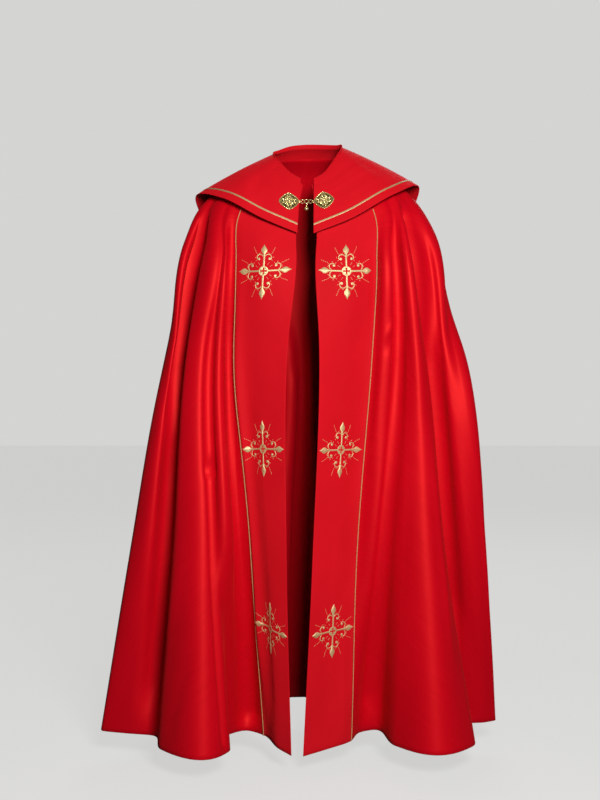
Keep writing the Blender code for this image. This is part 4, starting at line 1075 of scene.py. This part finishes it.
# ------------------------------------------------------------------ clasp
PLATE = {"half_w": 0.0242, "half_h": 0.0232, "bow": 1.42}
EYE = {"ring": 0.0025, "wire": 0.0008, "out": 0.0013}
RING_WIRE = 0.0007
RING_TILT = (48, -34, 48)
LINK_PLAY = 0.00035
PENDANT = {"ring": 0.0024, "wire": 0.0006, "drop": 0.0142}
PLATES = (
    # name           x        z        roll  side
    ("clasp_left",  -0.0432, -0.0995,    1,   1),
    ("clasp_right",  0.0374, -0.0960,   -8,  -1),
)

# All in parts of a plate's half width and half height; out: toward a corner, aside: to one side.
VOLUTE = (
    # out   aside  wire
    (0.800, 0.020, 0.62), (0.735, 0.105, 0.85), (0.640, 0.185, 1.00), (0.525, 0.200, 1.00),
    (0.455, 0.135, 0.90), (0.490, 0.060, 0.80), (0.570, 0.055, 0.70), (0.595, 0.115, 0.60),
)
SIDE_SCROLL = (
    # along one side's diagonal and off it
    (0.285, 0.060, 0.70), (0.350, 0.130, 0.90), (0.440, 0.150, 0.95), (0.500, 0.100, 0.85),
    (0.470, 0.045, 0.70), (0.415, 0.062, 0.60),
)
LEAF = (
    (0.235, 0.000, 0.80), (0.320, 0.000, 1.30), (0.420, 0.000, 1.10), (0.530, 0.000, 0.40),
)


def gilt_material():
    """Gilt cast metal: bright raised work, painted shade in the recesses (set by the UV's second number)."""
    m = Nodes("gilt_metal", Roughness=0.22, Metallic=0.74, Specular_IOR_Level=0.6)
    uv = m.add("UVMap").outputs["UV"]
    parts = m.add("SeparateXYZ")
    m.link(uv, parts.inputs[0])
    place = m.add("TexCoord").outputs["Object"]
    stain = m.noise(m.mapped(place, (260.0, 260.0, 260.0)), 1.0, 3.0)
    # tone: the UV's second number, low for painted shade in recesses and grooves, high on raised work, varied
    # at random by the stain noise
    tone = m.math("ADD", m.math("MULTIPLY", parts.outputs["Y"], 0.80),
                  m.math("MULTIPLY", stain, 0.30))
    # near-black painted shade, olive-brown gold, then the bright gold of the raised work
    colour = m.ramp(tone, ((0.16, (0.045, 0.031, 0.007)), (0.50, (0.48, 0.35, 0.10)),
                           (0.88, (0.98, 0.84, 0.40))))
    pits = m.noise(m.mapped(place, (900.0, 900.0, 900.0)), 1.0, 2.0)
    rough = m.math("ADD", m.math("MULTIPLY", stain, 0.18), 0.17)
    return m.finish(colour, rough, m.bump(pits, 0.00012, 0.5))


GILT = gilt_material()


class Plane:
    """A plate's own frame: x to the right, z up, height out of its face."""

    def __init__(self, centre, x_axis, z_axis, out):
        self.centre, self.x, self.z, self.out = centre, x_axis, z_axis, out

    def at(self, x, z, height):
        x, z, height = (np.asarray(v, float)[..., None] for v in np.broadcast_arrays(x, z, height))
        return self.centre + x * self.x + z * self.z + height * self.out


def cushion(share, count=96):
    a = 2 * np.pi * np.arange(count) / count
    c, s = np.cos(a), np.sin(a)
    bow = PLATE["bow"]
    return (PLATE["half_w"] * share * np.copysign(np.abs(c) ** bow, c),
            PLATE["half_h"] * share * np.copysign(np.abs(s) ** bow, s))


def even_cushion(share, count):
    """The outline again, its places the same distance apart."""
    x, z = cushion(share, 720)
    loop = np.stack([x, z], axis=1)
    loop = np.concatenate([loop, loop[:1]])
    run = run_of(loop)
    at = np.linspace(0, run[-1], count, endpoint=False)
    return np.interp(at, run, loop[:, 0]), np.interp(at, run, loop[:, 1])


def toward(quarter, out, aside):
    """out and aside of one corner as x and z in parts of the half sizes."""
    e = ((1, 0), (0, 1), (-1, 0), (0, -1))[quarter]
    x = out * e[0] - aside * e[1]
    z = out * e[1] + aside * e[0]
    return x * PLATE["half_w"], z * PLATE["half_h"]


def plate_work(plane, side):
    heap = Heap()
    loops, tones = [], []
    # each ring: size, height and tone; the tone paints shade, dark on the back and on the sunk field inside
    # the rim (and on the caps below), bright on the raised rim
    for share, height, tone in ((0.94, 0.0, 0.3), (1.0, 0.0003, 0.7), (1.0, 0.0012, 0.9),
                                (0.98, 0.0016, 0.9), (0.94, 0.0016, 0.6), (0.92, 0.0013, 0.25),
                                (0.60, 0.0013, 0.15), (0.34, 0.0015, 0.15), (0.06, 0.0017, 0.2)):
        x, z = cushion(share)
        loops.append(plane.at(x, z, height))
        tones.append(np.full((len(x), 2), tone))
    heap.grid(np.stack(loops), np.stack(tones), wrap_cols=True)
    heap.cap(loops[0], (0.2, 0.2))
    heap.cap(loops[-1], (0.1, 0.1))
    # roped rim and a row of beads inside it; the rope's tone paints shade, darker where the twist thins
    x, z = even_cushion(0.965, 360)
    k = np.arange(360)
    tube(heap, plane.at(x, z, 0.0017), 0.00078 * (1 + 0.13 * np.sin(2 * np.pi * k / 6)), 8,
         ref=plane.out, closed=True, tone=0.80 + 0.2 * np.sin(2 * np.pi * k / 6))
    axes = (plane.x, plane.z, plane.out)
    x, z = even_cushion(0.895, 56)
    for centre in plane.at(x, z, 0.0018):
        ball(heap, centre, 0.00070, axes, 0.7, 0.9, 4, 8)
    # scrolls toward the corners and the sides
    volute, hook, leaf = spline(VOLUTE, 5), spline(SIDE_SCROLL, 5), spline(LEAF, 4)
    half = math.sqrt(0.5)
    for quarter in range(4):
        for flip in (-1.0, 1.0):
            x, z = toward(quarter, volute[:, 0], flip * volute[:, 1])
            lift = 0.0021 + 0.0008 * np.linspace(0, 1, len(x))
            tube(heap, plane.at(x, z, lift), 0.00100 * volute[:, 2], 8, ref=plane.out, tone=0.95)
            x, z = toward(quarter, 0.545, flip * 0.112)
            ball(heap, plane.at(x, z, 0.0026), 0.00105, axes, 0.9, 1.0, 5, 10)
            out = half * (hook[:, 0] - flip * hook[:, 1])
            aside = half * (hook[:, 0] + flip * hook[:, 1])
            x, z = toward(quarter, out, aside)
            tube(heap, plane.at(x, z, 0.0022), 0.00092 * hook[:, 2], 8, ref=plane.out, tone=0.9)
        x, z = toward(quarter, half * leaf[:, 0], half * leaf[:, 0])
        tube(heap, plane.at(x, z, 0.0020), 0.00102 * leaf[:, 2], 8, ref=plane.out, tone=0.9)
        x, z = toward(quarter, np.array([0.30, 0.38, 0.455]), np.zeros(3))
        for centre, size in zip(plane.at(x, z, 0.0021), (0.0011, 0.0009, 0.0007)):
            ball(heap, centre, size, axes, 0.9, 1.0, 5, 10)
    # the rosette in the middle
    a = 2 * np.pi * np.arange(48) / 48
    tube(heap, plane.at(0.0063 * np.cos(a), 0.0063 * np.sin(a), 0.0019), 0.00070, 8,
         ref=plane.out, closed=True, tone=0.9)
    for k in range(8):
        a = 2 * math.pi * (k + 0.5) / 8
        tip = plane.at(0.0046 * math.cos(a), 0.0046 * math.sin(a), 0.0024)
        c, s = math.cos(a), math.sin(a)
        petal = (1.5 * (c * plane.x + s * plane.z), -s * plane.x + c * plane.z, plane.out)
        ball(heap, tip, 0.00125, petal, 0.75, 0.95, 5, 10)
    ball(heap, plane.at(0.0, 0.0, 0.0030), 0.0029, axes, 0.62, 1.0, 9, 20)
    # the eye on the inner corner
    a = 2 * np.pi * np.arange(40) / 40
    x = side * (PLATE["half_w"] + EYE["out"]) + EYE["ring"] * np.cos(a)
    tube(heap, plane.at(x, EYE["ring"] * np.sin(a), EYE["wire"] + 0.0004), EYE["wire"], 10,
         ref=plane.out, closed=True, tone=0.9)
    return heap


def hood_at(x, z):
    """The hood's own form (without its creases) nearest to a given x and z."""
    i, j = np.meshgrid(np.arange(25), np.arange(10, 96, 2), indexing="ij")
    a = i.ravel() * 0.08 if x < 0 else (len(HOOD) - 1) - i.ravel() * 0.08
    q = j.ravel() / 100.0
    p = hood_pairs(a, q)
    k = int(np.argmin((p[:, 0] - x) ** 2 + (p[:, 2] - z) ** 2))
    a, q, e = min(max(float(a[k]), 0.01), len(HOOD) - 1.01), float(q[k]), 1e-3
    near = hood_pairs(np.array([a, a + e, a - e, a, a]), np.array([q, q, q, q + e, q - e]))
    return near[0], unit(np.cross(near[1] - near[2], near[3] - near[4]))


EYES = []
for name, x, z, roll, side in PLATES:
    p, n = hood_at(x, z)
    y_axis = -n
    x_axis = unit(np.cross(y_axis, (0.0, 0.0, 1.0)))
    z_axis = unit(np.cross(x_axis, y_axis))
    c, s = math.cos(math.radians(roll)), math.sin(math.radians(roll))
    x_axis, z_axis = c * x_axis - s * z_axis, s * x_axis + c * z_axis
    plane = Plane(p + n * (HOOD_WALL / 2 + 0.0012), x_axis, z_axis, n)
    plate_work(plane, side).piece(name, GILT, slot="gilt", replaces=(name,))
    EYES.append(plane.at(side * (PLATE["half_w"] + EYE["out"]), 0.0, EYE["wire"] + 0.0004))

# the chain's three rings, link in link between the eyes
span = float(np.linalg.norm(EYES[1] - EYES[0]))
chain = (EYES[1] - EYES[0]) / span
wires = EYE["wire"] + RING_WIRE
ring_size = (span - 2 * EYE["ring"] + 2 * wires + 4 * RING_WIRE + 4 * LINK_PLAY) / 6
first = EYE["ring"] + ring_size - wires - LINK_PLAY
pitch = 2 * ring_size - 2 * RING_WIRE - LINK_PLAY
depth = -np.cross(chain, (0.0, 0.0, 1.0))
for k, (name, tilt) in enumerate(zip(("chain_ring_left", "chain_ring_centre",
                                      "chain_ring_right"), RING_TILT)):
    centre = EYES[0] + chain * (first + k * pitch)
    c, s = math.cos(math.radians(tilt)), math.sin(math.radians(tilt))
    tall = -s * depth + c * np.array((0.0, 0.0, 1.0))
    axis = c * depth + s * np.array((0.0, 0.0, 1.0))
    a = 2 * np.pi * np.arange(48) / 48
    path = centre + ring_size * (np.cos(a)[:, None] * chain + np.sin(a)[:, None] * tall)
    heap = Heap()
    tube(heap, path, RING_WIRE, 10, ref=axis, closed=True, tone=0.9)
    heap.piece(name, GILT, slot="gilt", replaces=(name,))
    if k == 1:
        hinge = centre - ring_size * tall

# the pendant: its own ring and a small ribbed drop
heap = Heap()
hang = PENDANT["ring"] - PENDANT["wire"] - RING_WIRE - LINK_PLAY
a = 2 * np.pi * np.arange(40) / 40
middle = hinge + np.array((0.0, 0.0, -hang))
path = middle + PENDANT["ring"] * np.stack([np.zeros(40), np.cos(a), np.sin(a)], axis=1)
tube(heap, path, PENDANT["wire"], 10, ref=(1.0, 0.0, 0.0), closed=True, tone=0.9)
# the tone column paints light: dark shade on the narrow necks, a painted highlight at the bulb's widest part
DROP = (
    # radius  share  tone
    (0.0004, -0.02, 0.9), (0.0009, 0.02, 0.9), (0.0010, 0.13, 0.9), (0.0018, 0.20, 1.0),
    (0.0021, 0.26, 1.0), (0.0017, 0.31, 0.4), (0.0018, 0.35, 0.3), (0.0034, 0.45, 0.7),
    (0.0044, 0.56, 0.9), (0.0048, 0.66, 1.0), (0.0046, 0.76, 0.9), (0.0036, 0.87, 0.8),
    (0.0019, 0.95, 0.3), (0.0015, 0.975, 0.8), (0.0004, 1.0, 0.9),
)
drop = spline(DROP, 4)
top = -hang - PENDANT["ring"] + 0.0002
a = 2 * np.pi * np.arange(48) / 48
bulb = np.clip((drop[:, 0] - 0.0022) / 0.002, 0.0, 1.0)[:, None]
radius = np.maximum(drop[:, 0], 0.0003)[:, None] * (1 - 0.05 * bulb * (0.5 - 0.5 * np.cos(12 * a))[None])
points = hinge + np.stack([radius * np.cos(a)[None], radius * np.sin(a)[None],
                           np.broadcast_to((top - PENDANT["drop"] * drop[:, 1])[:, None],
                                           radius.shape)], axis=-1)
# the ribs' grooves painted darker, as shade
tone = drop[:, 2][:, None] - 0.35 * bulb * (0.5 - 0.5 * np.cos(12 * a))[None]
heap.grid(points, np.stack([tone, np.clip(tone, 0, 1)], axis=-1), wrap_cols=True)
heap.cap(points[0], (0.9, 0.9))
heap.cap(points[-1], (0.9, 0.9))
heap.piece("pendant", GILT, body="pendant", slot="gilt", replaces=("pendant",))


# ------------------------------------------------------------------ camera, floor, light
camera = bpy.data.cameras.new("camera")
camera.sensor_width = 36.0
camera.lens = 75.915
camera_ob = bpy.data.objects.new("camera", camera)
camera_ob.location = (-0.017, -4.1, -0.33)
camera_ob.rotation_euler = (math.radians(90.0 - 3.36), 0.0, 0.0)
bpy.context.scene.collection.objects.link(camera_ob)
bpy.context.scene.camera = camera_ob

FLOOR_Z = -1.455
floor = new_mesh("floor", [(-9, -9, FLOOR_Z), (9, -9, FLOOR_Z), (9, 9, FLOOR_Z), (-9, 9, FLOOR_Z)],
                 [(0, 1, 2, 3)])
pale = Nodes("floor_pale", Roughness=0.8, Specular_IOR_Level=0.1,
             Emission_Color=(0.66, 0.66, 0.65, 1.0), Emission_Strength=0.93)
_spot = pale.noise(pale.mapped(pale.add("TexCoord").outputs["Object"], (3, 3, 3)), 1.0, 3.0)
floor.data.materials.append(pale.finish(
    pale.ramp(_spot, ((0.3, (0.145, 0.145, 0.142)), (0.7, (0.155, 0.155, 0.152))))))
floor.visible_diffuse = False
floor.visible_glossy = False

world = bpy.data.worlds.new("studio")
world.use_nodes = True
_tree = world.node_tree
_soft = _tree.nodes["Background"]
_soft.inputs["Color"].default_value = (0.95, 0.96, 1.0, 1.0)
_soft.inputs["Strength"].default_value = 0.03
_seen = _tree.nodes.new("ShaderNodeBackground")
_seen.inputs["Color"].default_value = (0.66, 0.66, 0.65, 1.0)
_path = _tree.nodes.new("ShaderNodeLightPath")
_both = _tree.nodes.new("ShaderNodeMixShader")
_tree.links.new(_path.outputs["Is Camera Ray"], _both.inputs["Fac"])
_tree.links.new(_soft.outputs[0], _both.inputs[1])
_tree.links.new(_seen.outputs[0], _both.inputs[2])
_tree.links.new(_both.outputs[0], _tree.nodes["World Output"].inputs["Surface"])
bpy.context.scene.world = world

LIGHTS = (
    # name     place                 aims at              size_x size_y  watts
    ("key",   (0.46, -3.3, 0.42),   (0.0, 0.0, -0.60),    0.7,   0.7,    144),
    ("fill",  (0.9, -3.2, -0.8),    (0.0, 0.0, -0.9),     0.9,   0.9,    2),
    ("back",  (0.6, 3.4, 1.5),      (0.0, 0.0, -0.6),     2.0,   2.0,    36),
)
for name, place, aim, size_x, size_y, watts in LIGHTS:
    light = bpy.data.lights.new(name, "AREA")
    light.shape = "RECTANGLE"
    light.size, light.size_y = size_x, size_y
    light.energy = watts
    ob = bpy.data.objects.new(name, light)
    ob.location = place
    ob.rotation_euler = (Vector(aim) - Vector(place)).to_track_quat("-Z", "Y").to_euler()
    ob.visible_camera = False
    bpy.context.scene.collection.objects.link(ob)

bpy.context.scene.view_settings.view_transform = "Standard"
